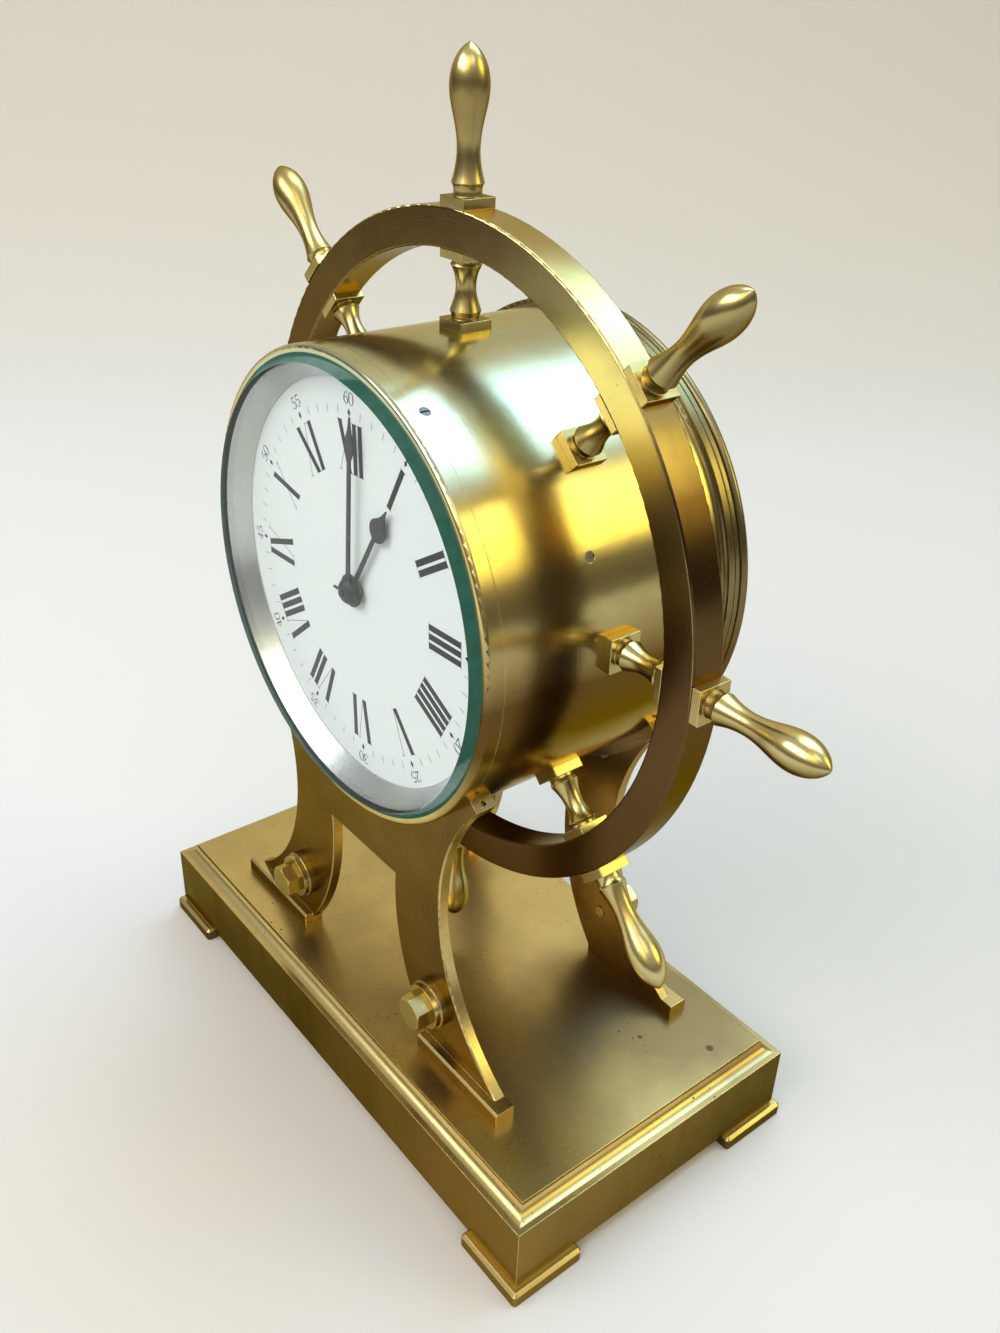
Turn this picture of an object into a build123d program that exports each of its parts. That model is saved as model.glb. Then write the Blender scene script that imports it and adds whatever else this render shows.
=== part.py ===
from build123d import *
import os
from math import cos, radians, sin, sqrt

os.makedirs("parts", exist_ok=True)

# Ship wheel clock. Millimetres: X to the right seen from the dial, Y to the back, Z up.
# The origin is the middle of the base's underside, and the wheel's middle plane is y = 0.

# Clearances and cuts
turning_gap = 0.05
seat_gap = 0.03
overrun = 1.0

# Base
base_width = 200.0
base_depth = 105.4
base_side_height = 21.92
cove_ledge = 1.74
cove_inset = 5.04
cove_rise = 4.15
cove_run_share = 0.72
cove_rise_share = 0.32
base_wall = 3.0
base_roof = 6.0
corner_block = 14.0
bottom_sheet = 1.2
foot_side = 24.6
foot_height = 4.36
foot_overhang = 2.13
foot_edge = 1.1
foot_bevel = 0.9
plinth_bevel = 0.6
base_screw_radius = 1.5
base_screw_head_radius = 3.0
base_screw_head_height = 1.8
base_screw_recess = 2.2
base_screw_grip = 8.0

# Side frames
wheel_height = 170.6
frame_inner = 31.8
frame_thickness = 3.4
frame_edge = 0.5
saddle_inner = 28.7
saddle_thickness = 3.8
saddle_droop = 37.0
saddle_bury = 1.8
strip_start = 33.0
strip_end = 71.5
strip_depth = 6.4
strip_height = 4.52
strip_edge = 0.6
foot_outer_half = 70.9
foot_inner_half = 33.2
waist_outer_half = 39.0
waist_outer_height = 88.0
waist_inner_half = 20.1
waist_inner_height = 58.0
arch_half = 17.3
arch_height = 85.2
end_hole_radius = 0.8
end_hole_depth = 2.0

# Bolts through the legs
bolt_half_spacing = 37.0
bolt_height = 50.0
bolt_radius = 1.9
bolt_head_radius = 5.5
bolt_head_height = 5.0
bolt_end = 0.4
bolt_edge = 0.6
collar_radius = 7.5
collar_step_radius = 7.0
collar_base = 2.2
collar_height = 4.1

# Screws up into the strips and through the saddles
frame_screw_radius = 1.3
frame_screw_head_radius = 2.6
frame_screw_head_height = 1.8
frame_screw_grip = 3.4
frame_screw_near = 42.0
frame_screw_far = 62.0
saddle_screw_radius = 0.8
saddle_screw_head_radius = 1.5
saddle_screw_head_height = 0.9
saddle_screw_side_angle = 30.0

# Wheel
drum_radius = 65.0
rim_reach = 19.54
rim_radial_width = 10.02
rim_width = 10.0
rim_edge = 0.5
spoke_count = 8
stud_radius = 1.5
rim_stud_length = 4.4
pad_edge = 0.35
handle_pad_width = 9.6
handle_pad_depth = 10.2
handle_pad_height = 2.5
handle_length = 33.71
handle_bulge_radius = 4.88
spoke_pad_width = 9.6
spoke_pad_depth = 9.8
drum_pad_height = 2.5
rim_pad_height = 2.2
spoke_bead_radius = 4.05
# Each pair is a share of the bulge's radius and a share of the handle's length.
handle_neck_shares = [(0.758, 0.0), (0.73, 0.03), (0.75, 0.062), (0.85, 0.092)]
handle_body_shares = [
    (0.85, 0.092), (0.668, 0.193), (0.59, 0.34), (0.717, 0.48), (0.916, 0.61),
    (1.0, 0.72), (0.902, 0.83), (0.594, 0.926), (0.0, 1.0),
]
# Each pair is a share of the bead's radius and a share of the length between the pads.
spoke_body_shares = [
    (1.0, 0.138), (0.84, 0.26), (0.73, 0.36), (0.645, 0.53), (0.69, 0.68), (0.83, 0.81), (1.0, 0.897),
]
spoke_ring_share = 0.88
spoke_ring_height_share = 0.05

# Drum, bezel and glass
drum_wall = 2.5
drum_front = -36.0
drum_back = 36.5
bezel_front = -41.1
bezel_lip_wall = 2.1
bezel_round = 1.2
bezel_wall = 4.0
spigot_front_end = -31.4
glass_front = -43.3
glass_back = -38.8
glass_bevel_width = 2.27
surround_land = 0.4
dial_front = -32.8
dial_thickness = 1.0
surround_slope_width = 4.7
dial_edge_gap = 0.6
dial_foot_radius = 0.7
dial_foot_ring = 33.0

# Rear bezel and door
rear_spigot_end = 30.0
rear_bezel_end = 41.4
rear_cove_end = 37.5
rear_band_rise = 2.0
rear_lip_width = 2.5
rear_lip_front = 39.0
rear_groove_place = 39.8
rear_groove_width = 0.5
rear_groove_depth = 0.5
door_front = 41.9
door_back = 44.9
door_overhang = 0.6
door_round = 1.4
door_border_width = 6.9
door_panel_recess = 0.9
door_spigot_gap = 0.3
door_spigot_front = 40.2
door_spigot_wall = 2.0
hinge_offset = 1.7
hinge_radius = 1.5
hinge_pin_radius = 0.6
hinge_half_middle = 5.0
hinge_knuckle_length = 5.0
hinge_gap = 0.3
hinge_arm_front = 38.4
hinge_arm_back = 41.0
catch_place = 50.0
catch_shaft_radius = 1.6
catch_knob_radius = 4.0
catch_knob_height = 5.0
catch_tongue_width = 4.0
catch_tongue_front = 37.2
catch_tongue_back = 38.6
catch_tip_gap = 0.6

# Screws flush in the drum's side
case_screw_radius = 0.9
case_screw_head_radius = 1.4
case_screw_head_height = 0.9
case_screw_slot = 0.5
case_screw_slot_depth = 0.35
bezel_screw_place = -34.5
bezel_screw_angle = 61.7
ring_screw_place = -7.3
ring_screw_angle = 22.6
back_screw_place = 33.0
back_screw_angles = [160.0, 250.0]
plate_screw_radius = 0.8
plate_screw_head_radius = 1.6
plate_screw_head_height = 0.9

# Movement plates, pillars and ring
plate_radius = 40.0
front_plate_face = -28.4
front_plate_back = -26.4
back_plate_face = -12.4
back_plate_back = -10.4
pillar_ring = 34.0
pillar_radius = 2.2
pillar_end_radius = 1.3
pillar_nut_radius = 2.4
pillar_nut_height = 1.4
ring_hole_radius = 36.0
ring_web = 1.6
ring_flange_back = -4.6
ring_flange_wall = 2.4
ring_screw_ring = 38.0

# Teeth: widths are shares of the tooth's angular pitch, heights are shares of the module
wheel_root_share = 0.34
wheel_tip_share = 0.12
wheel_addendum_share = 0.9
wheel_dedendum_share = 1.15
pinion_root_share = 0.22
pinion_tip_share = 0.14
pinion_addendum_share = 0.7
pinion_dedendum_share = 1.3
arm_count = 4
arm_width_share = 0.16
hub_share = 0.26
felloe_share = 0.84

# Going train
barrel_teeth = 72
centre_pinion_teeth = 12
barrel_module = 0.45
centre_teeth = 64
third_pinion_teeth = 8
centre_module = 0.4
third_teeth = 60
fourth_pinion_teeth = 8
third_module = 0.4
third_mesh_opening = 0.95
fourth_teeth = 80
escape_pinion_teeth = 8
fourth_module = 0.3
third_direction = 135.0
fourth_direction = 20.0
escape_direction = -25.0
lever_direction = -40.0
wheel_thickness = 0.8
arbor_radius = 0.7
pivot_radius = 0.4
pivot_length = 1.0
centre_wheel_back = -23.8
centre_pinion_front = -23.0
centre_pinion_back = -20.6
third_pinion_front = -25.3
third_pinion_back = -23.1
third_wheel_back = -18.8
fourth_pinion_front = -20.3
fourth_pinion_back = -18.1
fourth_wheel_back = -15.4
escape_pinion_front = -16.9
escape_pinion_back = -14.7
escape_back = -13.6
escape_thickness = 0.6
escape_teeth = 15
escape_radius = 5.0
escape_root_share = 0.78
escape_tip_share = 0.05
escape_face_share = 0.2

# Centre arbor
centre_arbor_radius = 1.5
centre_front_radius = 1.0
centre_back_radius = 1.2
centre_front_end = -37.9
setting_square = 1.6
square_end = 3.0

# Barrel
barrel_front = -22.4
barrel_tooth_width = 1.2
barrel_back = -14.4
barrel_radius = 15.2
barrel_wall = 0.8
barrel_core_radius = 3.0
barrel_arbor_radius = 2.2
barrel_pivot_radius = 1.5
barrel_back_radius = 2.0
winding_square = 2.7
spring_thickness = 0.5
spring_pitch = 1.5
spring_inner_radius = 3.1
spring_half_turns = 13
spring_side_gap = 0.3

# Ratchet and click
ratchet_teeth = 24
ratchet_radius = 7.0
ratchet_root_share = 0.87
ratchet_thickness = 1.2
ratchet_lift = 0.5
click_pivot_x = -9.6
click_pivot_z = 5.2
click_hub_radius = 1.8
click_screw_radius = 0.8
click_screw_head_radius = 1.5
click_thickness = 1.0
click_nose_width = 1.4
click_nose_gap = 0.35
click_tooth = 8
click_face_share = 0.12
click_back_share = 0.9

# Lever and balance
lever_distance = 6.5
balance_distance = 8.0
pallet_gap = 0.35
pallet_spread = 30.0
pallet_width = 0.7
lever_width = 1.0
fork_reach = 5.9
fork_width = 2.2
fork_notch = 0.9
fork_notch_depth = 1.0
roller_radius = 2.2
roller_front = -15.2
roller_thickness = 0.5
roller_pin_ring = 1.6
roller_pin_radius = 0.25
balance_radius = 8.0
balance_rim = 1.0
balance_hub_radius = 1.3
balance_arm_width = 1.0
balance_front = -9.2
balance_thickness = 1.0
balance_staff_radius = 0.5
staff_hole_radius = 1.0
balance_screw_radius = 0.35
collet_radius = 1.0
hairspring_front = -7.3
hairspring_height = 0.5
hairspring_thickness = 0.16
hairspring_pitch = 0.7
hairspring_inner_radius = 1.15
hairspring_half_turns = 9
cock_front = -5.6
cock_thickness = 1.6
cock_width = 4.0
cock_foot_distance = 11.5
cock_foot_radius = 2.4
cock_foot_direction = 115.0
cock_head_radius = 2.2
cock_screw_radius = 0.8
stud_pin_radius = 0.4

# Motion work and hands
cannon_teeth = 12
minute_wheel_teeth = 36
cannon_module = 0.4
minute_pinion_teeth = 10
hour_wheel_teeth = 40
cannon_back = -28.7
cannon_tooth_front = -30.0
cannon_tube_radius = 1.9
cannon_shoulder = -35.25
cannon_square = 2.2
cannon_square_end = -35.75
minute_wheel_back = -29.1
minute_pinion_front = -31.2
minute_stud_radius = 0.8
hour_wheel_back = -30.3
hour_wheel_front = -31.1
hour_pipe_radius = 2.8
hour_pipe_end = -34.8
dial_hole_radius = 3.2
hour_hand_front = -34.75
minute_hand_front = -35.75
hand_thickness = 0.5
hour_hand_angle = 31.0
minute_hand_angle = 3.5
hour_boss_radius = 4.6
hour_shaft_width = 1.5
hour_pear_ring = 25.5
hour_pear_radius = 3.3
hour_pear_stretch_share = 1.0
hour_tip = 33.0
minute_boss_radius = 3.0
minute_shaft_width = 1.6
minute_pear_ring = 41.0
minute_pear_radius = 1.75
minute_pear_stretch_share = 2.2
minute_tip = 48.7
hand_neck_share = 0.8
hand_tip_share = 0.12
pear_brow_angle = 50.0
ogee_width_share = 0.38
ogee_height_share = 0.47
nut_front = -37.4
nut_radius = 3.6
nut_gap = 0.05
nut_dome_share = 0.72
nut_dome_depth_share = 0.28
taper_pin_radius = 0.38
taper_pin_place = -36.6
taper_pin_left = 4.9
taper_pin_right = 4.1

# Worked out from the sizes above
side_top = foot_height + base_side_height
base_top = side_top + cove_rise
frame_outer = frame_inner + frame_thickness
saddle_bore = drum_radius + seat_gap
saddle_outer = drum_radius + saddle_thickness
strip_middle = frame_inner + strip_depth / 2
drum_bore = drum_radius - drum_wall
rim_inner_radius = drum_radius + rim_reach
rim_outer_radius = rim_inner_radius + rim_radial_width
bezel_lip_radius = drum_radius - bezel_lip_wall
bezel_bore_radius = drum_radius - bezel_wall
dial_seen_radius = bezel_bore_radius - surround_slope_width
dial_radius = bezel_bore_radius - dial_edge_gap
rear_band_radius = drum_radius + rear_band_rise
rear_lip_radius = bezel_bore_radius - rear_lip_width
door_radius = rear_band_radius + door_overhang
door_panel_radius = door_radius - door_border_width
door_spigot_radius = rear_lip_radius - door_spigot_gap
spigot_radius = drum_bore - seat_gap
dial_back = dial_front + dial_thickness
drum_axis = Axis((0, 0, wheel_height), (0, 1, 0))


def finish(piece, name):
    piece.part.label = name
    export_step(piece.part, f"parts/{name}.step")


# A plane at depth y that faces the dial side, with its middle on the drum's axis.
def facing(y):
    return Plane(origin=(0, y, wheel_height), x_dir=(1, 0, 0), z_dir=(0, -1, 0))


# The half plane through the drum's axis: its first coordinate is y, its second is the radius.
def section():
    return Plane(origin=(0, 0, wheel_height), x_dir=(0, 1, 0), z_dir=(1, 0, 0))


# A plane square to a radius of the drum, whose normal points outwards.
def radial(angle, radius, y):
    out = (cos(radians(angle)), 0, sin(radians(angle)))
    place = (radius * out[0], y, wheel_height + radius * out[2])
    return Plane(origin=place, x_dir=(0, 1, 0), z_dir=out)


def step_towards(place, direction, distance):
    return (
        place[0] + distance * cos(radians(direction)),
        place[1] + distance * sin(radians(direction)),
    )


# Adds a round bar, or cuts a round hole, along Y between two depths.
def along_y(place, radius, front, back, mode=Mode.ADD):
    with BuildSketch(facing(back)) as profile:
        with Locations(place):
            Circle(radius)
    extrude(profile.sketch, amount=back - front, mode=mode)


# Adds a square bar along Y between two depths.
def square_along_y(place, side, front, back):
    with BuildSketch(facing(back)) as profile:
        with Locations(place):
            Rectangle(side, side)
    extrude(profile.sketch, amount=back - front)


def gear_outline(place, teeth, root_radius, tip_radius, root_share, tip_share, first_angle):
    pitch = 360 / teeth
    outline = []
    for tooth in range(teeth):
        middle = first_angle + tooth * pitch
        outline.append(step_towards(place, middle - root_share * pitch, root_radius))
        outline.append(step_towards(place, middle - tip_share * pitch, tip_radius))
        outline.append(step_towards(place, middle + tip_share * pitch, tip_radius))
        outline.append(step_towards(place, middle + root_share * pitch, root_radius))
    return outline


# Adds a toothed wheel with crossed arms. A tooth's middle lies at first_angle.
def wheel_with_arms(place, teeth, module, first_angle, front, back, crossed=True):
    pitch_radius = module * teeth / 2
    root_radius = pitch_radius - wheel_dedendum_share * module
    tip_radius = pitch_radius + wheel_addendum_share * module
    outline = gear_outline(
        place, teeth, root_radius, tip_radius, wheel_root_share, wheel_tip_share, first_angle
    )
    with BuildSketch(facing(back)) as profile:
        Polygon(*outline, align=None)
        if crossed:
            with Locations(place):
                Circle(felloe_share * pitch_radius, mode=Mode.SUBTRACT)
                Circle(hub_share * pitch_radius)
                with PolarLocations(felloe_share * pitch_radius / 2, arm_count, first_angle):
                    Rectangle(felloe_share * pitch_radius + module, arm_width_share * pitch_radius)
    extrude(profile.sketch, amount=back - front)


# Adds a pinion. A tooth's middle lies at first_angle.
def pinion(place, teeth, module, first_angle, front, back):
    pitch_radius = module * teeth / 2
    root_radius = pitch_radius - pinion_dedendum_share * module
    tip_radius = pitch_radius + pinion_addendum_share * module
    outline = gear_outline(
        place, teeth, root_radius, tip_radius, pinion_root_share, pinion_tip_share, first_angle
    )
    with BuildSketch(facing(back)) as profile:
        Polygon(*outline, align=None)
    extrude(profile.sketch, amount=back - front)


# Adds an arbor with a pivot at each end that runs in the two plates.
def arbor(place, radius=arbor_radius):
    along_y(place, radius, front_plate_back + turning_gap, back_plate_face - turning_gap)
    along_y(place, pivot_radius, front_plate_back - pivot_length, back_plate_face + pivot_length)


# Adds a flat spiral band of half turns, whose radius grows by half a pitch at each.
def spiral(place, inner_radius, thickness, pitch, half_turns, front, back):
    step = pitch / 2
    with BuildSketch(facing(back)) as profile:
        for turn in range(half_turns):
            side = 1 if turn % 2 == 0 else -1
            centre = (place[0] - side * step / 2, place[1])
            radius = inner_radius + step / 2 + turn * step
            with Locations(centre):
                with BuildSketch(mode=Mode.PRIVATE) as half_ring:
                    Circle(radius + thickness)
                    Circle(radius, mode=Mode.SUBTRACT)
                    with Locations((0, -side * (radius + pitch))):
                        Rectangle(4 * (radius + pitch), 2 * (radius + pitch), mode=Mode.SUBTRACT)
                add(half_ring.sketch)
    extrude(profile.sketch, amount=back - front)


# Base: a hollow casting with a cove round its top
with BuildPart() as base_plinth:
    for plane, half, other, mode in (
        (Plane.XZ, base_width / 2, base_depth / 2, Mode.ADD),
        (Plane.YZ, base_depth / 2, base_width / 2, Mode.INTERSECT),
    ):
        with BuildSketch(plane, mode=Mode.PRIVATE) as side_outline:
            with BuildLine():
                ledge = (half - cove_ledge, side_top)
                edge = (half - cove_inset, base_top)
                cove_run = cove_inset - cove_ledge
                hollow = (ledge[0] - cove_run_share * cove_run, side_top + cove_rise_share * cove_rise)
                Line((0, foot_height), (half, foot_height))
                Line((half, foot_height), (half, side_top))
                Line((half, side_top), ledge)
                ThreePointArc(ledge, hollow, edge)
                Line(edge, (0, base_top))
                mirror(about=Plane.YZ)
            make_face()
        extrude(side_outline.sketch, amount=other, both=True, mode=mode)
    chamfer(base_plinth.faces().sort_by(Axis.Z)[0].edges(), plinth_bevel)
    inner_width = base_width - 2 * base_wall
    inner_depth = base_depth - 2 * base_wall
    roof = base_top - base_roof
    with BuildSketch(Plane.XY.offset(foot_height)):
        Rectangle(inner_width, inner_depth)
    extrude(amount=roof - foot_height, mode=Mode.SUBTRACT)
    block_x = base_width / 2 - base_wall - corner_block / 2
    block_y = base_depth / 2 - base_wall - corner_block / 2
    with BuildSketch(Plane.XY.offset(foot_height + bottom_sheet)):
        with GridLocations(2 * block_x, 2 * block_y, 2, 2):
            Rectangle(corner_block, corner_block)
    extrude(amount=roof - foot_height - bottom_sheet)
    with BuildSketch(Plane.XY.offset(foot_height + bottom_sheet)):
        with GridLocations(2 * block_x, 2 * block_y, 2, 2):
            Circle(base_screw_radius + seat_gap)
    extrude(amount=base_screw_grip + seat_gap, mode=Mode.SUBTRACT)
    frame_screw_spots = [
        (side_x * x, side_y * strip_middle)
        for side_x in (-1, 1)
        for side_y in (-1, 1)
        for x in (frame_screw_near, frame_screw_far)
    ]
    with BuildSketch(Plane.XY.offset(roof)):
        with Locations(*frame_screw_spots):
            Circle(frame_screw_radius + seat_gap)
    extrude(amount=base_roof, mode=Mode.SUBTRACT)
finish(base_plinth, "base_plinth")

with BuildPart() as base_bottom_plate:
    with BuildSketch(Plane.XY.offset(foot_height)):
        Rectangle(inner_width - 2 * seat_gap, inner_depth - 2 * seat_gap)
        with GridLocations(2 * block_x, 2 * block_y, 2, 2):
            Circle(base_screw_radius + seat_gap, mode=Mode.SUBTRACT)
    extrude(amount=bottom_sheet)
finish(base_bottom_plate, "base_bottom_plate")

with BuildPart() as corner_feet:
    foot_x = base_width / 2 + foot_overhang - foot_side / 2
    foot_y = base_depth / 2 + foot_overhang - foot_side / 2
    with BuildSketch(Plane.XY):
        with GridLocations(2 * foot_x, 2 * foot_y, 2, 2):
            Rectangle(foot_side, foot_side)
    extrude(amount=foot_height)
    fillet(corner_feet.edges().filter_by(Axis.Z), foot_edge)
    chamfer(corner_feet.faces().filter_by(Axis.Z).group_by(Axis.Z)[-1].edges(), foot_bevel)
    with BuildSketch(Plane.XY):
        with GridLocations(2 * block_x, 2 * block_y, 2, 2):
            Circle(base_screw_radius + seat_gap)
    extrude(amount=foot_height, mode=Mode.SUBTRACT)
    with BuildSketch(Plane.XY):
        with GridLocations(2 * block_x, 2 * block_y, 2, 2):
            Circle(base_screw_head_radius + seat_gap)
    extrude(amount=base_screw_recess, mode=Mode.SUBTRACT)
finish(corner_feet, "corner_feet")

with BuildPart() as base_screws:
    with BuildSketch(Plane.XY.offset(base_screw_recess - base_screw_head_height)):
        with GridLocations(2 * block_x, 2 * block_y, 2, 2):
            Circle(base_screw_head_radius)
    extrude(amount=base_screw_head_height)
    with BuildSketch(Plane.XY.offset(base_screw_recess)):
        with GridLocations(2 * block_x, 2 * block_y, 2, 2):
            Circle(base_screw_radius)
    extrude(amount=foot_height + bottom_sheet + base_screw_grip - base_screw_recess)
finish(base_screws, "base_screws")


# Side frames: one casting each, with the saddle under the drum and a strip under each leg
def side_plane(side, depth):
    return Plane(origin=(0, side * depth, 0), x_dir=(-side, 0, 0), z_dir=(0, side, 0))


saddle_screw_depth = (saddle_inner + frame_inner) / 2


def make_frame(side):
    droop = radians(saddle_droop)
    bury_radius = saddle_outer - saddle_bury
    saddle_corner = (saddle_outer * cos(droop), wheel_height - saddle_outer * sin(droop))
    saddle_root = (bury_radius * cos(droop), wheel_height - bury_radius * sin(droop))
    crown_side = (bury_radius * cos(radians(60)), wheel_height - bury_radius * sin(radians(60)))
    crown = (0, wheel_height - bury_radius)
    strip_level = base_top + strip_height / 2
    with BuildPart() as frame:
        with BuildSketch(side_plane(side, frame_inner)):
            with BuildLine():
                Line((0, arch_height), (arch_half, arch_height))
                ThreePointArc(
                    (arch_half, arch_height),
                    (waist_inner_half, waist_inner_height),
                    (foot_inner_half, strip_level),
                )
                Line((foot_inner_half, strip_level), (foot_outer_half, strip_level))
                ThreePointArc(
                    (foot_outer_half, strip_level),
                    (waist_outer_half, waist_outer_height),
                    saddle_corner,
                )
                Line(saddle_corner, saddle_root)
                ThreePointArc(saddle_root, crown_side, crown)
                mirror(about=Plane.YZ)
            make_face()
        extrude(amount=frame_thickness)
        outer_face = frame.faces().sort_by(Axis.Y)[0 if side < 0 else -1]
        fillet(outer_face.edges(), frame_edge)
        with BuildSketch(side_plane(side, saddle_inner)):
            with BuildLine():
                sweep_angle = 180 - 2 * saddle_droop
                outside = CenterArc((0, wheel_height), saddle_outer, 180 + saddle_droop, sweep_angle)
                inside = CenterArc((0, wheel_height), saddle_bore, 180 + saddle_droop, sweep_angle)
                Line(outside @ 0, inside @ 0)
                Line(outside @ 1, inside @ 1)
            make_face()
        extrude(amount=frame_outer - saddle_inner)
        with BuildSketch(side_plane(side, frame_inner)):
            with Locations(
                ((strip_start + strip_end) / 2, base_top + strip_height / 2),
                (-(strip_start + strip_end) / 2, base_top + strip_height / 2),
            ):
                Rectangle(strip_end - strip_start, strip_height)
        extrude(amount=strip_depth)
        strip_faces = frame.faces().sort_by(Axis.Y)[:2] if side < 0 else frame.faces().sort_by(Axis.Y)[-2:]
        top_edges = [
            edge
            for face in strip_faces
            for edge in face.edges().filter_by(Axis.X)
            if edge.center().Z > base_top + strip_height / 2
        ]
        chamfer(top_edges, strip_edge)
        with BuildSketch(side_plane(side, frame_inner)):
            with Locations((bolt_half_spacing, bolt_height), (-bolt_half_spacing, bolt_height)):
                Circle(bolt_radius + seat_gap)
        extrude(amount=frame_thickness, mode=Mode.SUBTRACT)
        with BuildSketch(Plane.XY.offset(base_top)):
            with Locations(*[spot for spot in frame_screw_spots if spot[1] * side > 0]):
                Circle(frame_screw_radius + seat_gap)
        extrude(amount=frame_screw_grip + seat_gap, mode=Mode.SUBTRACT)
        for screw_side in (-1, 1):
            angle = -90 + screw_side * saddle_screw_side_angle
            with BuildSketch(radial(angle, drum_radius, side * saddle_screw_depth)):
                Circle(saddle_screw_radius + seat_gap)
            extrude(amount=saddle_thickness + overrun, mode=Mode.SUBTRACT)
        end_middle = (saddle_bore + saddle_outer) / 2
        end_place = (
            end_middle * cos(droop),
            side * (saddle_inner + frame_outer) / 2,
            wheel_height - end_middle * sin(droop),
        )
        end_plane = Plane(origin=end_place, x_dir=(0, 1, 0), z_dir=(sin(droop), 0, cos(droop)))
        with BuildSketch(end_plane):
            Circle(end_hole_radius)
        extrude(amount=-end_hole_depth, mode=Mode.SUBTRACT)
    return frame


finish(make_frame(-1), "front_frame")
finish(make_frame(1), "rear_frame")

with BuildPart() as bolt_collars:
    for side in (-1, 1):
        for radius, height in ((collar_radius, collar_base), (collar_step_radius, collar_height)):
            with BuildSketch(side_plane(side, frame_outer)):
                with Locations((bolt_half_spacing, bolt_height), (-bolt_half_spacing, bolt_height)):
                    Circle(radius)
            extrude(amount=height)
    for side in (-1, 1):
        with BuildSketch(side_plane(side, frame_outer)):
            with Locations((bolt_half_spacing, bolt_height), (-bolt_half_spacing, bolt_height)):
                Circle(bolt_radius + seat_gap)
        extrude(amount=collar_height, mode=Mode.SUBTRACT)
finish(bolt_collars, "bolt_collars")

with BuildPart() as frame_bolts:
    for side in (-1, 1):
        with BuildSketch(side_plane(side, frame_outer + collar_height)):
            with Locations((bolt_half_spacing, bolt_height), (-bolt_half_spacing, bolt_height)):
                RegularPolygon(bolt_head_radius, 6, rotation=30)
        extrude(amount=bolt_head_height)
    with BuildPart(mode=Mode.PRIVATE) as bolt_crowns:
        for side in (-1, 1):
            for x in (-bolt_half_spacing, bolt_half_spacing):
                with BuildSketch(side_plane(side, frame_outer + collar_height)):
                    with Locations((x, bolt_height)):
                        Circle(bolt_head_radius)
                extrude(amount=bolt_head_height)
        crown_faces = bolt_crowns.faces().filter_by(Axis.Y).sort_by(Axis.Y)
        chamfer([edge for face in (*crown_faces[:2], *crown_faces[-2:]) for edge in face.edges()], bolt_edge)
    add(bolt_crowns.part, mode=Mode.INTERSECT)
    for side in (-1, 1):
        with BuildSketch(side_plane(side, frame_inner - bolt_end)):
            with Locations((bolt_half_spacing, bolt_height), (-bolt_half_spacing, bolt_height)):
                Circle(bolt_radius)
        extrude(amount=bolt_end + frame_thickness + collar_height)
finish(frame_bolts, "frame_bolts")

with BuildPart() as frame_screws:
    with BuildSketch(Plane.XY.offset(roof - frame_screw_head_height)):
        with Locations(*frame_screw_spots):
            Circle(frame_screw_head_radius)
    extrude(amount=frame_screw_head_height)
    with BuildSketch(Plane.XY.offset(roof)):
        with Locations(*frame_screw_spots):
            Circle(frame_screw_radius)
    extrude(amount=base_roof + frame_screw_grip)
finish(frame_screws, "frame_screws")

with BuildPart() as saddle_screws:
    for side in (-1, 1):
        for screw_side in (-1, 1):
            angle = -90 + screw_side * saddle_screw_side_angle
            with BuildSketch(radial(angle, drum_bore, side * saddle_screw_depth)):
                Circle(saddle_screw_radius)
            extrude(amount=saddle_outer - drum_bore)
            with BuildSketch(radial(angle, saddle_outer, side * saddle_screw_depth)):
                Circle(saddle_screw_head_radius)
            extrude(amount=saddle_screw_head_height)
finish(saddle_screws, "saddle_screws")

# Wheel: the rim, and a spoke and a handle at each of the eight places
spoke_angles = [90 - 360 / spoke_count * place for place in range(spoke_count)]
with BuildPart() as wheel_rim:
    with BuildSketch(section()):
        with Locations((0, (rim_inner_radius + rim_outer_radius) / 2)):
            Rectangle(rim_width, rim_outer_radius - rim_inner_radius)
    revolve(axis=drum_axis)
    fillet(wheel_rim.edges().filter_by(GeomType.CIRCLE), rim_edge)
    for angle in spoke_angles:
        with BuildSketch(radial(angle, rim_inner_radius - overrun, 0)):
            Circle(stud_radius + seat_gap)
        extrude(amount=overrun + rim_stud_length + seat_gap, mode=Mode.SUBTRACT)
        with BuildSketch(radial(angle, rim_outer_radius, 0)):
            Circle(stud_radius + seat_gap)
        extrude(amount=-(rim_stud_length + seat_gap), mode=Mode.SUBTRACT)
finish(wheel_rim, "wheel_rim")


# Turned bodies are drawn beside the upright spoke's axis and then swung to their own angle.
def swing(angle):
    across = (sin(radians(angle)), 0, -cos(radians(angle)))
    return Plane(origin=(0, 0, wheel_height), x_dir=across, z_dir=(0, -1, 0))


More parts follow.
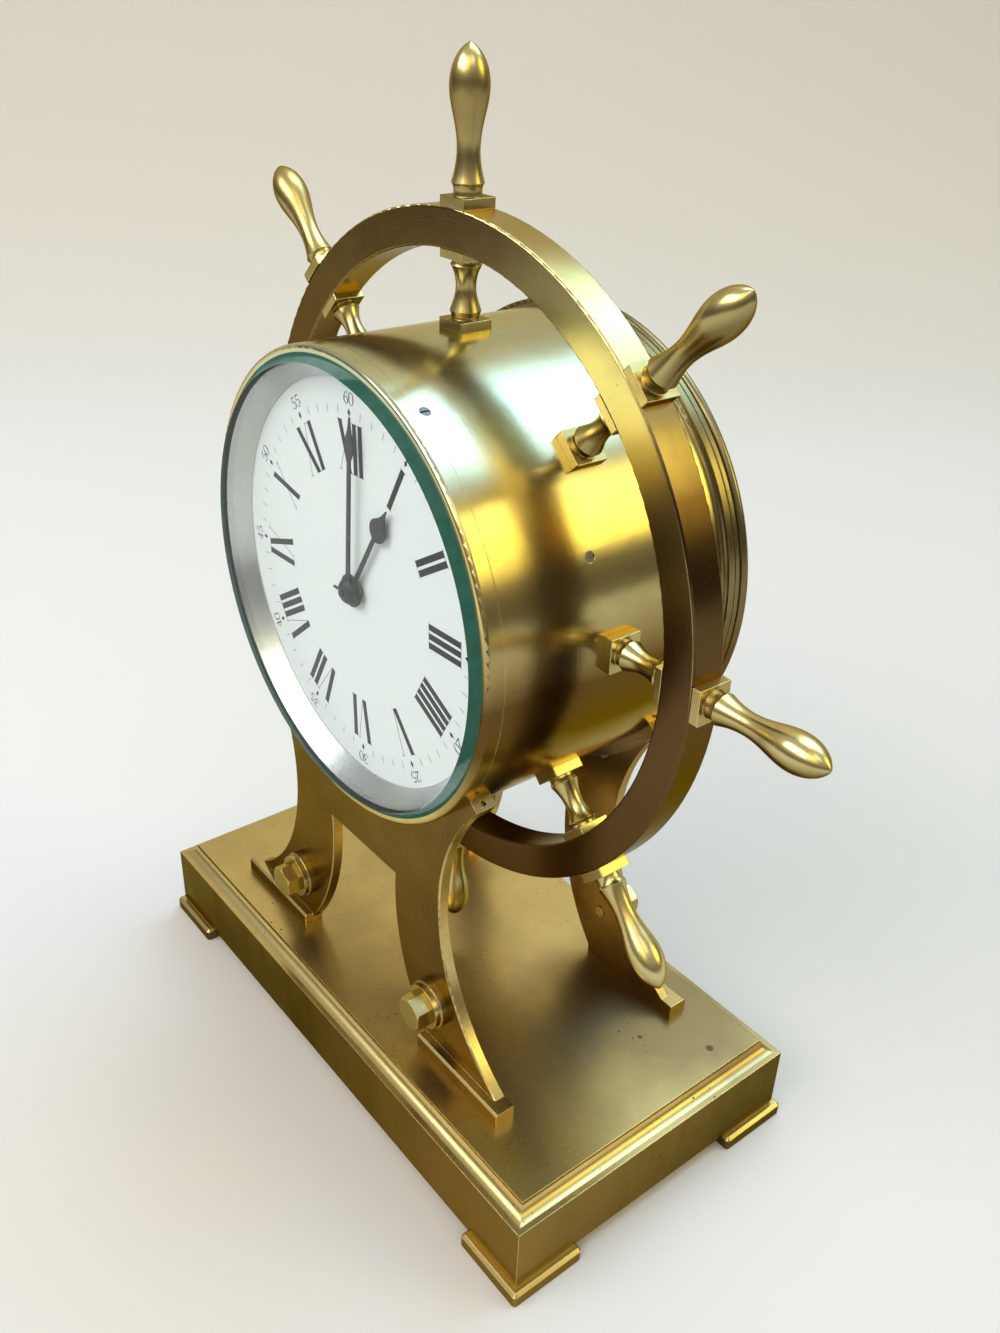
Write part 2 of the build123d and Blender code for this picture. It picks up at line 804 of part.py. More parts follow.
def make_handle(angle):
    pad_top = rim_outer_radius + handle_pad_height
    neck = [(r * handle_bulge_radius, pad_top + h * handle_length) for r, h in handle_neck_shares]
    body = [(r * handle_bulge_radius, pad_top + h * handle_length) for r, h in handle_body_shares]
    with BuildPart() as handle:
        with BuildSketch(swing(angle)):
            with BuildLine():
                Line((0, pad_top - handle_pad_height / 2), (neck[0][0], pad_top - handle_pad_height / 2))
                Line((neck[0][0], pad_top - handle_pad_height / 2), neck[0])
                Spline(*neck)
                Spline(*body)
                Line(body[-1], (0, pad_top - handle_pad_height / 2))
            make_face()
        along = Axis((0, 0, wheel_height), (cos(radians(angle)), 0, sin(radians(angle))))
        revolve(axis=along)
        with BuildSketch(radial(angle, rim_outer_radius - overrun / 2, 0)):
            Rectangle(handle_pad_depth, handle_pad_width)
            fillet(vertices(), pad_edge)
        extrude(amount=handle_pad_height + overrun / 2)
        with BuildSketch(facing(handle_pad_depth)):
            Circle(rim_outer_radius)
        extrude(amount=2 * handle_pad_depth, mode=Mode.SUBTRACT)
        with BuildSketch(radial(angle, rim_outer_radius - rim_stud_length, 0)):
            Circle(stud_radius)
        extrude(amount=rim_stud_length + handle_pad_height / 2)
    return handle


def make_spoke(angle):
    start = drum_radius + drum_pad_height
    end = rim_inner_radius - rim_pad_height
    length = end - start
    bead = [(r * spoke_bead_radius, start + t * length) for r, t in spoke_body_shares]
    ring_radius = spoke_ring_share * spoke_bead_radius
    ring_height = spoke_ring_height_share * length
    with BuildPart() as spoke:
        with BuildSketch(swing(angle)):
            with BuildLine():
                Polyline(
                    (0, start - drum_pad_height / 2),
                    (ring_radius, start - drum_pad_height / 2),
                    (ring_radius, start + ring_height),
                    bead[0],
                )
                Spline(*bead)
                Polyline(
                    bead[-1],
                    (ring_radius, end - ring_height),
                    (ring_radius, end + rim_pad_height / 2),
                    (0, end + rim_pad_height / 2),
                    (0, start - drum_pad_height / 2),
                )
            make_face()
        along = Axis((0, 0, wheel_height), (cos(radians(angle)), 0, sin(radians(angle))))
        revolve(axis=along)
        with BuildSketch(radial(angle, drum_radius - overrun / 2, 0)):
            Rectangle(spoke_pad_depth, spoke_pad_width)
            fillet(vertices(), pad_edge)
        extrude(amount=drum_pad_height + overrun / 2)
        with BuildSketch(facing(spoke_pad_depth)):
            Circle(drum_radius)
        extrude(amount=2 * spoke_pad_depth, mode=Mode.SUBTRACT)
        with BuildPart(mode=Mode.PRIVATE) as rim_pad:
            with BuildSketch(radial(angle, end, 0)):
                Rectangle(spoke_pad_depth, spoke_pad_width)
                fillet(vertices(), pad_edge)
            extrude(amount=rim_pad_height + overrun)
            with BuildSketch(facing(spoke_pad_depth)):
                Circle(rim_inner_radius)
            extrude(amount=2 * spoke_pad_depth, mode=Mode.INTERSECT)
        add(rim_pad.part)
        with BuildSketch(radial(angle, drum_bore, 0)):
            Circle(stud_radius)
        extrude(amount=drum_wall + drum_pad_height / 2)
        with BuildSketch(radial(angle, end + rim_pad_height / 2, 0)):
            Circle(stud_radius)
        extrude(amount=rim_inner_radius + rim_stud_length - end - rim_pad_height / 2)
    return spoke


clock_places = ["top", "upper_right", "right", "lower_right", "bottom", "lower_left", "left", "upper_left"]
for place, angle in zip(clock_places, spoke_angles):
    finish(make_handle(angle), f"handle_{place}")
    finish(make_spoke(angle), f"spoke_{place}")

# Drum, with the holes for the spokes' studs and for the screws
bezel_screw_angles = [bezel_screw_angle + turn for turn in (0, 120, 240)]
ring_screw_angles = [ring_screw_angle + turn for turn in (0, 120, 240)]
case_screw_spots = [(angle, bezel_screw_place) for angle in bezel_screw_angles]
case_screw_spots += [(angle, ring_screw_place) for angle in ring_screw_angles]
case_screw_spots += [(angle, back_screw_place) for angle in back_screw_angles]
case_screw_seat = drum_radius - case_screw_head_height - seat_gap
spigot_bore = bezel_bore_radius
case_screw_tip = spigot_bore + seat_gap

with BuildPart() as drum_case:
    with BuildSketch(facing(drum_back)):
        Circle(drum_radius)
        Circle(drum_bore, mode=Mode.SUBTRACT)
    extrude(amount=drum_back - drum_front)
    for angle in spoke_angles:
        with BuildSketch(radial(angle, drum_bore - overrun, 0)):
            Circle(stud_radius + seat_gap)
        extrude(amount=drum_wall + 2 * overrun, mode=Mode.SUBTRACT)
    for angle, y in case_screw_spots:
        with BuildSketch(radial(angle, drum_bore - overrun, y)):
            Circle(case_screw_radius + seat_gap)
        extrude(amount=drum_wall + 2 * overrun, mode=Mode.SUBTRACT)
        with BuildSketch(radial(angle, case_screw_seat, y)):
            Circle(case_screw_head_radius + seat_gap)
        extrude(amount=case_screw_head_height + overrun, mode=Mode.SUBTRACT)
    for side in (-1, 1):
        for screw_side in (-1, 1):
            angle = -90 + screw_side * saddle_screw_side_angle
            with BuildSketch(radial(angle, drum_bore - overrun, side * saddle_screw_depth)):
                Circle(saddle_screw_radius + seat_gap)
            extrude(amount=drum_wall + 2 * overrun, mode=Mode.SUBTRACT)
finish(drum_case, "drum_case")

# Front bezel: its lip holds the glass and its spigot fits in the drum
with BuildPart() as front_bezel:
    with BuildSketch(section()):
        with BuildLine():
            Polyline(
                (bezel_front, drum_radius - bezel_round),
                (bezel_front, bezel_lip_radius),
                (glass_back, bezel_lip_radius),
                (glass_back, bezel_bore_radius),
                (spigot_front_end, bezel_bore_radius),
                (spigot_front_end, spigot_radius),
                (drum_front, spigot_radius),
                (drum_front, drum_radius),
                (bezel_front + bezel_round, drum_radius),
            )
            RadiusArc(
                (bezel_front + bezel_round, drum_radius),
                (bezel_front, drum_radius - bezel_round),
                -bezel_round,
            )
        make_face()
    revolve(axis=drum_axis)
    for angle in bezel_screw_angles:
        with BuildSketch(radial(angle, spigot_bore - overrun, bezel_screw_place)):
            Circle(case_screw_radius + seat_gap)
        extrude(amount=drum_radius, mode=Mode.SUBTRACT)
finish(front_bezel, "front_bezel")

with BuildPart() as bezel_glass:
    glass_radius = bezel_lip_radius - seat_gap
    glass_flat_radius = glass_radius - glass_bevel_width
    with BuildSketch(section()):
        with BuildLine():
            Polyline(
                (glass_back, 0),
                (glass_back, glass_radius),
                (bezel_front, glass_radius),
                (glass_front, glass_flat_radius),
                (glass_front, 0),
                close=True,
            )
        make_face()
    revolve(axis=drum_axis)
finish(bezel_glass, "bezel_glass")

# The ring that slopes from the glass down to the dial
with BuildPart() as dial_surround:
    surround_radius = bezel_bore_radius - seat_gap
    with BuildSketch(section()):
        with BuildLine():
            Polyline(
                (glass_back, surround_radius),
                (glass_back, surround_radius - surround_land),
                (dial_front - surround_land, dial_seen_radius),
                (dial_front, dial_seen_radius),
                (dial_front, surround_radius),
                close=True,
            )
        make_face()
    revolve(axis=drum_axis)
finish(dial_surround, "dial_surround")

foot_angles = [90, 210, 330]
dial_foot_places = [step_towards((0, 0), angle, dial_foot_ring) for angle in foot_angles]
with BuildPart() as dial:
    along_y((0, 0), dial_radius, dial_front, dial_back)
    along_y((0, 0), dial_hole_radius, dial_front, dial_back, Mode.SUBTRACT)
    for place in dial_foot_places:
        along_y(place, dial_foot_radius, dial_back, front_plate_back)
finish(dial, "dial")

# Rear bezel, with the hinge's outer knuckles
hinge_x = -(door_radius + hinge_offset)
hinge_y = (door_front + door_back) / 2
knuckle_spots = [
    hinge_half_middle + hinge_gap + hinge_knuckle_length / 2,
    -(hinge_half_middle + hinge_gap + hinge_knuckle_length / 2),
]


def hinge_plane(height):
    return Plane(origin=(0, 0, wheel_height + height), x_dir=(1, 0, 0), z_dir=(0, 0, 1))


with BuildPart() as rear_bezel:
    with BuildSketch(section()):
        with BuildLine():
            groove = rear_band_radius - rear_groove_depth
            Polyline(
                (drum_back, drum_radius),
                (drum_back, spigot_radius),
                (rear_spigot_end, spigot_radius),
                (rear_spigot_end, bezel_bore_radius),
                (rear_lip_front, bezel_bore_radius),
                (rear_lip_front, rear_lip_radius),
                (rear_bezel_end, rear_lip_radius),
                (rear_bezel_end, rear_band_radius),
                (rear_groove_place + rear_groove_width / 2, rear_band_radius),
                (rear_groove_place, groove),
                (rear_groove_place - rear_groove_width / 2, rear_band_radius),
                (rear_cove_end, rear_band_radius),
            )
            cove_middle = (
                drum_back + cove_run_share * (rear_cove_end - drum_back),
                drum_radius + cove_rise_share * (rear_band_radius - drum_radius),
            )
            ThreePointArc((rear_cove_end, rear_band_radius), cove_middle, (drum_back, drum_radius))
        make_face()
    revolve(axis=drum_axis)
    for height in knuckle_spots:
        with BuildSketch(hinge_plane(height - hinge_knuckle_length / 2)):
            with Locations((hinge_x, hinge_y)):
                Circle(hinge_radius)
            with Locations((hinge_x, (hinge_arm_front + hinge_y) / 2)):
                Rectangle(2 * hinge_radius, hinge_y - hinge_arm_front)
            arm_reach = abs(hinge_x) - rear_band_radius + hinge_radius
            with Locations((hinge_x + arm_reach / 2, (hinge_arm_front + hinge_arm_back) / 2)):
                Rectangle(arm_reach, hinge_arm_back - hinge_arm_front)
        extrude(amount=hinge_knuckle_length)
        with BuildSketch(hinge_plane(height - hinge_knuckle_length / 2)):
            with Locations((hinge_x, hinge_y)):
                Circle(hinge_pin_radius + seat_gap)
        extrude(amount=hinge_knuckle_length, mode=Mode.SUBTRACT)
    for angle in back_screw_angles:
        with BuildSketch(radial(angle, spigot_bore - overrun, back_screw_place)):
            Circle(case_screw_radius + seat_gap)
        extrude(amount=drum_radius - spigot_bore, mode=Mode.SUBTRACT)
finish(rear_bezel, "rear_bezel")

# Rear door: a dished disc with a rounded rim and the hinge's middle knuckle
with BuildPart() as rear_door:
    with BuildSketch(section()):
        with BuildLine():
            inner_spigot = door_spigot_radius - door_spigot_wall
            Polyline(
                (door_front + door_panel_recess, 0),
                (door_front + door_panel_recess, inner_spigot),
                (door_spigot_front, inner_spigot),
                (door_spigot_front, door_spigot_radius),
                (door_front, door_spigot_radius),
                (door_front, door_radius - door_round),
            )
            ThreePointArc(
                (door_front, door_radius - door_round),
                (hinge_y, door_radius),
                (door_back, door_radius - door_round),
            )
            Polyline(
                (door_back, door_radius - door_round),
                (door_back, door_panel_radius),
                (door_back - door_panel_recess, door_panel_radius),
                (door_back - door_panel_recess, 0),
                (door_front + door_panel_recess, 0),
            )
        make_face()
    revolve(axis=drum_axis)
    with BuildSketch(hinge_plane(-hinge_half_middle)):
        with Locations((hinge_x, hinge_y)):
            Circle(hinge_radius)
        with Locations((hinge_x + hinge_radius + hinge_offset / 2, hinge_y)):
            Rectangle(2 * hinge_radius + hinge_offset, hinge_radius)
    extrude(amount=2 * hinge_half_middle)
    with BuildSketch(hinge_plane(-hinge_half_middle)):
        with Locations((hinge_x, hinge_y)):
            Circle(hinge_pin_radius + turning_gap)
    extrude(amount=2 * hinge_half_middle, mode=Mode.SUBTRACT)
    along_y((catch_place, 0), catch_shaft_radius + turning_gap, door_front, door_back, Mode.SUBTRACT)
finish(rear_door, "rear_door")

with BuildPart() as door_hinge_pin:
    pin_half = hinge_half_middle + hinge_gap + hinge_knuckle_length
    with BuildSketch(hinge_plane(-pin_half)):
        with Locations((hinge_x, hinge_y)):
            Circle(hinge_pin_radius)
    extrude(amount=2 * pin_half)
finish(door_hinge_pin, "door_hinge_pin")

# At rest the catch is turned up, free of the bezel's lip.
with BuildPart() as door_catch:
    knob_front = door_back - door_panel_recess + turning_gap
    catch_reach = spigot_bore - catch_tip_gap - catch_tongue_width / 2 - catch_place
    along_y((catch_place, 0), catch_shaft_radius, catch_tongue_front, knob_front)
    along_y((catch_place, 0), catch_knob_radius, knob_front, knob_front + catch_knob_height)
    fillet(door_catch.faces().sort_by(Axis.Y)[-1].edges(), catch_shaft_radius / 2)
    with BuildSketch(facing(catch_tongue_back)):
        with Locations((catch_place, catch_reach / 2)):
            Rectangle(catch_tongue_width, catch_reach)
        with Locations((catch_place, 0), (catch_place, catch_reach)):
            Circle(catch_tongue_width / 2)
    extrude(amount=catch_tongue_back - catch_tongue_front)
finish(door_catch, "door_catch")

# Screws flush in the drum: they hold the bezels and the movement's ring
ring_screw_places = [step_towards((0, 0), angle, ring_screw_ring) for angle in (90, 210, 330)]
with BuildPart() as case_screws:
    for angle, y in case_screw_spots:
        tip = drum_bore - ring_flange_wall if y == ring_screw_place else case_screw_tip
        with BuildSketch(radial(angle, tip + seat_gap, y)):
            Circle(case_screw_radius)
        extrude(amount=case_screw_seat - tip - seat_gap)
        with BuildSketch(radial(angle, case_screw_seat, y)):
            Circle(case_screw_head_radius)
        extrude(amount=case_screw_head_height)
        with BuildSketch(radial(angle, case_screw_seat + case_screw_head_height - case_screw_slot_depth, y)):
            Rectangle(2 * case_screw_head_radius + overrun, case_screw_slot)
        extrude(amount=case_screw_slot_depth, mode=Mode.SUBTRACT)
    web_back = back_plate_back + ring_web
    for place in ring_screw_places:
        along_y(place, plate_screw_radius, back_plate_face, web_back)
        along_y(place, plate_screw_head_radius, web_back, web_back + plate_screw_head_height)
finish(case_screws, "case_screws")

# Places of the movement's arbors, seen from the dial side
centre = (0, 0)
barrel_distance = barrel_module * (barrel_teeth + centre_pinion_teeth) / 2
barrel_place = (0, -barrel_distance)
third_distance = centre_module * (centre_teeth + third_pinion_teeth) / 2
third_place = step_towards(centre, third_direction, third_distance)
fourth_distance = third_module * (third_teeth + fourth_pinion_teeth) / 2 + third_mesh_opening
fourth_place = step_towards(third_place, fourth_direction, fourth_distance)
escape_distance = fourth_module * (fourth_teeth + escape_pinion_teeth) / 2
escape_place = step_towards(fourth_place, escape_direction, escape_distance)
lever_place = step_towards(escape_place, lever_direction, lever_distance)
balance_place = step_towards(lever_place, lever_direction, balance_distance)
cock_foot_place = step_towards(balance_place, cock_foot_direction, cock_foot_distance)
minute_distance = cannon_module * (cannon_teeth + minute_wheel_teeth) / 2
hour_module = 2 * minute_distance / (minute_pinion_teeth + hour_wheel_teeth)
minute_place = (0, -minute_distance)
pillar_places = [step_towards(centre, angle, pillar_ring) for angle in (45, 135, 225, 315)]
click_place = (barrel_place[0] + click_pivot_x, barrel_place[1] + click_pivot_z)
pivot_places = [third_place, fourth_place, escape_place, lever_place]

with BuildPart() as front_plate:
    along_y(centre, plate_radius, front_plate_face, front_plate_back)
    along_y(centre, centre_front_radius + turning_gap, front_plate_face, front_plate_back, Mode.SUBTRACT)
    barrel_hole = barrel_pivot_radius + turning_gap
    along_y(barrel_place, barrel_hole, front_plate_face, front_plate_back, Mode.SUBTRACT)
    for place in (*pivot_places, balance_place):
        along_y(place, pivot_radius + turning_gap, front_plate_face, front_plate_back, Mode.SUBTRACT)
    for place in pillar_places:
        along_y(place, pillar_end_radius + seat_gap, front_plate_face, front_plate_back, Mode.SUBTRACT)
    for place in dial_foot_places:
        along_y(place, dial_foot_radius + seat_gap, front_plate_face, front_plate_back, Mode.SUBTRACT)
    along_y(minute_place, minute_stud_radius, minute_pinion_front, front_plate_face)
finish(front_plate, "front_plate")

with BuildPart() as back_plate:
    along_y(centre, plate_radius, back_plate_face, back_plate_back)
    along_y(centre, centre_back_radius + turning_gap, back_plate_face, back_plate_back, Mode.SUBTRACT)
    along_y(barrel_place, barrel_back_radius + turning_gap, back_plate_face, back_plate_back, Mode.SUBTRACT)
    for place in pivot_places:
        along_y(place, pivot_radius + turning_gap, back_plate_face, back_plate_back, Mode.SUBTRACT)
    along_y(balance_place, staff_hole_radius, back_plate_face, back_plate_back, Mode.SUBTRACT)
    along_y(cock_foot_place, cock_screw_radius + seat_gap, back_plate_face, back_plate_back, Mode.SUBTRACT)
    for place in pillar_places:
        along_y(place, pillar_end_radius + seat_gap, back_plate_face, back_plate_back, Mode.SUBTRACT)
    for place in ring_screw_places:
        along_y(place, plate_screw_radius + seat_gap, back_plate_face, back_plate_back, Mode.SUBTRACT)
    click_back = back_plate_back + ratchet_lift + click_thickness + turning_gap
    along_y(click_place, click_screw_radius, back_plate_back, click_back)
    along_y(click_place, click_screw_head_radius, click_back, click_back + ratchet_lift)
finish(back_plate, "back_plate")

with BuildPart() as plate_pillars:
    for place in pillar_places:
        along_y(place, pillar_end_radius, front_plate_face, back_plate_back + pillar_nut_height)
        along_y(place, pillar_radius, front_plate_back, back_plate_face)
        with BuildSketch(facing(back_plate_back + pillar_nut_height)):
            with Locations(place):
                RegularPolygon(pillar_nut_radius, 6)
        extrude(amount=pillar_nut_height)
finish(plate_pillars, "plate_pillars")

with BuildPart() as movement_ring:
    ring_outer = drum_bore - seat_gap
    along_y(centre, ring_outer, back_plate_back, ring_flange_back)
    along_y(centre, drum_bore - ring_flange_wall, web_back, ring_flange_back, Mode.SUBTRACT)
    along_y(centre, ring_hole_radius, back_plate_back, web_back, Mode.SUBTRACT)
    for place in ring_screw_places:
        along_y(place, plate_screw_radius + seat_gap, back_plate_back, web_back, Mode.SUBTRACT)
    for place in pillar_places:
        along_y(place, pillar_nut_radius + seat_gap, back_plate_back, web_back, Mode.SUBTRACT)
    for angle in ring_screw_angles:
        with BuildSketch(radial(angle, drum_bore - ring_flange_wall - overrun, ring_screw_place)):
            Circle(case_screw_radius + seat_gap)
        extrude(amount=ring_flange_wall + 2 * overrun, mode=Mode.SUBTRACT)
finish(movement_ring, "movement_ring")

# Barrel: a toothed drum and its lid, with the wound spring between them
with BuildPart() as barrel:
    tooth_back = barrel_front + barrel_tooth_width
    wheel_with_arms(barrel_place, barrel_teeth, barrel_module, 90, barrel_front, tooth_back, False)
    along_y(barrel_place, barrel_radius, barrel_front, barrel_back)
    along_y(barrel_place, barrel_radius - barrel_wall, tooth_back, barrel_back, Mode.SUBTRACT)
    along_y(barrel_place, barrel_radius - barrel_wall - seat_gap, barrel_back - barrel_wall, barrel_back)
    along_y(barrel_place, barrel_arbor_radius + turning_gap, barrel_front, barrel_back, Mode.SUBTRACT)
finish(barrel, "barrel")

spring_front = barrel_front + barrel_tooth_width + spring_side_gap
spring_back = barrel_back - barrel_wall - spring_side_gap
with BuildPart() as mainspring:
    spiral(
        barrel_place,
        spring_inner_radius,
        spring_thickness,
        spring_pitch,
        spring_half_turns,
        spring_front,
        spring_back,
    )
finish(mainspring, "mainspring")

square_front = back_plate_back + turning_gap
with BuildPart() as barrel_arbor:
    along_y(barrel_place, barrel_pivot_radius, front_plate_face, front_plate_back - turning_gap)
    along_y(barrel_place, barrel_arbor_radius, front_plate_back + turning_gap, back_plate_face - turning_gap)
    along_y(barrel_place, barrel_pivot_radius, front_plate_face, barrel_front)
    along_y(barrel_place, barrel_core_radius - turning_gap, spring_front, spring_back)
    along_y(barrel_place, barrel_back_radius, back_plate_face - turning_gap, square_front)
    square_along_y(barrel_place, winding_square, square_front, square_end)
finish(barrel_arbor, "barrel_arbor")

ratchet_front = back_plate_back + ratchet_lift
ratchet_back = ratchet_front + ratchet_thickness
ratchet_root = ratchet_root_share * ratchet_radius
ratchet_pitch = 360 / ratchet_teeth
with BuildPart() as ratchet_wheel:
    ratchet_outline = []
    for tooth in range(ratchet_teeth):
        ratchet_outline.append(step_towards(barrel_place, tooth * ratchet_pitch, ratchet_radius))
        ratchet_outline.append(step_towards(barrel_place, tooth * ratchet_pitch, ratchet_root))
    with BuildSketch(facing(ratchet_back)):
        Polygon(*ratchet_outline, align=None)
        with Locations(barrel_place):
            Rectangle(winding_square + 2 * seat_gap, winding_square + 2 * seat_gap, mode=Mode.SUBTRACT)
    extrude(amount=ratchet_thickness)
finish(ratchet_wheel, "ratchet_wheel")

# Click: its nose stands in a gap of the ratchet, just off the tooth's steep face
nose_angle = click_tooth * ratchet_pitch
face_angle = nose_angle + click_face_share * ratchet_pitch
back_angle = nose_angle + click_back_share * ratchet_pitch
nose_face = step_towards(barrel_place, face_angle, ratchet_root + click_nose_gap)
nose_outer = step_towards(barrel_place, face_angle, ratchet_radius + click_nose_width)
nose_back = step_towards(barrel_place, back_angle, ratchet_radius + click_nose_gap)
with BuildPart() as click:
    with BuildSketch(facing(ratchet_front + click_thickness)):
        Polygon(nose_face, nose_outer, click_place, nose_back, align=None)
        with Locations(click_place):
            Circle(click_hub_radius)
            Circle(click_screw_radius + turning_gap, mode=Mode.SUBTRACT)
    extrude(amount=click_thickness)
finish(click, "click")

# Going train: each wheel turns with its pinion and arbor
with BuildPart() as centre_wheel:
    along_y(centre, centre_arbor_radius, front_plate_back + turning_gap, back_plate_face - turning_gap)
    along_y(centre, centre_front_radius, centre_front_end, front_plate_back + turning_gap)
    along_y(centre, centre_back_radius, back_plate_face - turning_gap, square_front)
    square_along_y(centre, setting_square, square_front, square_end)
    wheel_with_arms(
        centre,
        centre_teeth,
        centre_module,
        third_direction,
        centre_wheel_back - wheel_thickness,
        centre_wheel_back,
    )
    pinion(
        centre,
        centre_pinion_teeth,
        barrel_module,
        -90 + 180 / centre_pinion_teeth,
        centre_pinion_front,
        centre_pinion_back,
    )
    with BuildSketch(Plane(origin=(0, taper_pin_place, wheel_height), x_dir=(0, 1, 0), z_dir=(1, 0, 0))):
        Circle(taper_pin_radius + seat_gap)
    extrude(amount=centre_front_radius + overrun, both=True, mode=Mode.SUBTRACT)
finish(centre_wheel, "centre_wheel")

with BuildPart() as third_wheel:
    arbor(third_place)
    pinion(
        third_place,
        third_pinion_teeth,
        centre_module,
        third_direction + 180 + 180 / third_pinion_teeth,
        third_pinion_front,
        third_pinion_back,
    )
    wheel_with_arms(
        third_place,
        third_teeth,
        third_module,
        fourth_direction,
        third_wheel_back - wheel_thickness,
        third_wheel_back,
    )
finish(third_wheel, "third_wheel")

with BuildPart() as fourth_wheel:
    arbor(fourth_place)
    pinion(fourth_place, fourth_pinion_teeth, third_module, 0, fourth_pinion_front, fourth_pinion_back)
    wheel_with_arms(
        fourth_place,
        fourth_teeth,
        fourth_module,
        escape_direction,
        fourth_wheel_back - wheel_thickness,
        fourth_wheel_back,
    )
finish(fourth_wheel, "fourth_wheel")

with BuildPart() as escape_wheel:
    arbor(escape_place, arbor_radius)
    pinion(
        escape_place,
        escape_pinion_teeth,
        fourth_module,
        escape_direction + 180 + 180 / escape_pinion_teeth,
        escape_pinion_front,
        escape_pinion_back,
    )
    escape_pitch = 360 / escape_teeth
    escape_root = escape_root_share * escape_radius
    escape_outline = []
    for tooth in range(escape_teeth):
        for share, radius in (
            (0, escape_radius),
            (escape_tip_share, escape_radius),
            (escape_face_share, escape_root),
            (1 - escape_face_share, escape_root),
        ):
            escape_outline.append(step_towards(escape_place, (tooth + share) * escape_pitch, radius))
    with BuildSketch(facing(escape_back)):
        Polygon(*escape_outline, align=None)
    extrude(amount=escape_thickness)
finish(escape_wheel, "escape_wheel")

# Lever: two pallets that straddle the escape wheel, and a fork that faces the balance
with BuildPart() as pallet_lever:
    arbor(lever_place, pivot_radius + turning_gap)
    pallet_ring = escape_radius + pallet_gap
    fork_end = step_towards(lever_place, lever_direction, fork_reach)
    lever_shoulder = step_towards(lever_place, lever_direction, lever_width)
    with BuildSketch(facing(escape_back)):
        for side in (-1, 1):
            pallet_angle = lever_direction + side * pallet_spread
            near = step_towards(escape_place, pallet_angle, pallet_ring)
            far = step_towards(escape_place, pallet_angle, pallet_ring + lever_width)
            wide = step_towards(near, lever_direction + side * 90, pallet_width)
            Polygon(near, wide, far, align=None)
            Polygon(wide, far, lever_place, lever_shoulder, align=None)
        with Locations(lever_place):
            Circle(lever_width)
        middle = step_towards(lever_place, lever_direction, fork_reach / 2)
        with Locations(Location((*middle, 0), (0, 0, lever_direction))):
            Rectangle(fork_reach, lever_width)
        head = step_towards(lever_place, lever_direction, fork_reach - fork_notch_depth)
        with Locations(Location((*head, 0), (0, 0, lever_direction))):
            Rectangle(2 * fork_notch_depth, fork_width)
        with Locations(Location((*fork_end, 0), (0, 0, lever_direction))):
            Rectangle(2 * fork_notch_depth, fork_notch, mode=Mode.SUBTRACT)
    extrude(amount=escape_thickness)
finish(pallet_lever, "pallet_lever")

with BuildPart() as balance_wheel:
    balance_back = balance_front + balance_thickness
    along_y(balance_place, pivot_radius, front_plate_back - pivot_length, cock_front + pivot_length)
    along_y(balance_place, balance_staff_radius, front_plate_back + turning_gap, cock_front - turning_gap)
    along_y(balance_place, roller_radius, roller_front, roller_front + roller_thickness)
    pin_place = step_towards(balance_place, lever_direction + 180, roller_pin_ring)
    along_y(pin_place, roller_pin_radius, roller_front + roller_thickness, escape_back)
    along_y(balance_place, collet_radius, balance_back, hairspring_front + hairspring_height)
    with BuildSketch(facing(balance_back)):
        with Locations(balance_place):
            Circle(balance_radius)
            Circle(balance_radius - balance_rim, mode=Mode.SUBTRACT)
            Rectangle(2 * balance_radius - balance_rim, balance_arm_width)
            Circle(balance_hub_radius)
            with PolarLocations(balance_radius, 2 * arm_count):
                Circle(balance_screw_radius)
    extrude(amount=balance_thickness)
finish(balance_wheel, "balance_wheel")

with BuildPart() as hairspring:
    spiral(
        balance_place,
        hairspring_inner_radius,
        hairspring_thickness,
        hairspring_pitch,
        hairspring_half_turns,
        hairspring_front,
        hairspring_front + hairspring_height,
    )
finish(hairspring, "hairspring")

# Cock: a bar on a foot, with the stud that holds the hairspring's outer end
with BuildPart() as balance_cock:
    cock_back = cock_front + cock_thickness
    along_y(cock_foot_place, cock_foot_radius, back_plate_back, cock_back)
    along_y(balance_place, cock_head_radius, cock_front, cock_back)
    bar_middle = step_towards(balance_place, cock_foot_direction, cock_foot_distance / 2)
    with BuildSketch(facing(cock_back)):
        with Locations(Location((*bar_middle, 0), (0, 0, cock_foot_direction))):
            Rectangle(cock_foot_distance, cock_width)
    extrude(amount=cock_thickness)
    along_y(balance_place, pivot_radius + turning_gap, cock_front, cock_back, Mode.SUBTRACT)
    along_y(cock_foot_place, cock_screw_radius + seat_gap, back_plate_back, cock_back, Mode.SUBTRACT)
    spring_growth = (hairspring_half_turns + 1) * hairspring_pitch / 2
    stud_ring = hairspring_inner_radius + spring_growth + hairspring_thickness
    stud_place = (balance_place[0] - stud_ring - stud_pin_radius, balance_place[1])
    along_y(stud_place, stud_pin_radius, hairspring_front, cock_back)
    with BuildSketch(facing(cock_back)):
        with Locations(((stud_place[0] + balance_place[0]) / 2, balance_place[1])):
            Rectangle(stud_ring, cock_head_radius)
        with Locations(stud_place):
            Circle(cock_head_radius / 2)
        with Locations(balance_place):
            Circle(pivot_radius + turning_gap, mode=Mode.SUBTRACT)
    extrude(amount=cock_thickness)
    along_y(cock_foot_place, cock_screw_radius, back_plate_face, cock_back)
    along_y(cock_foot_place, plate_screw_head_radius, cock_back, cock_back + plate_screw_head_height)
finish(balance_cock, "balance_cock")

# Motion work: cannon pinion, minute wheel and hour wheel
with BuildPart() as cannon_pinion:
    along_y(centre, cannon_tube_radius, cannon_shoulder, cannon_back)
    square_along_y(centre, cannon_square, cannon_square_end, cannon_shoulder)
    pinion(centre, cannon_teeth, cannon_module, -90, cannon_tooth_front, cannon_back)
    along_y(centre, centre_front_radius + seat_gap, cannon_square_end, cannon_back, Mode.SUBTRACT)
finish(cannon_pinion, "cannon_pinion")

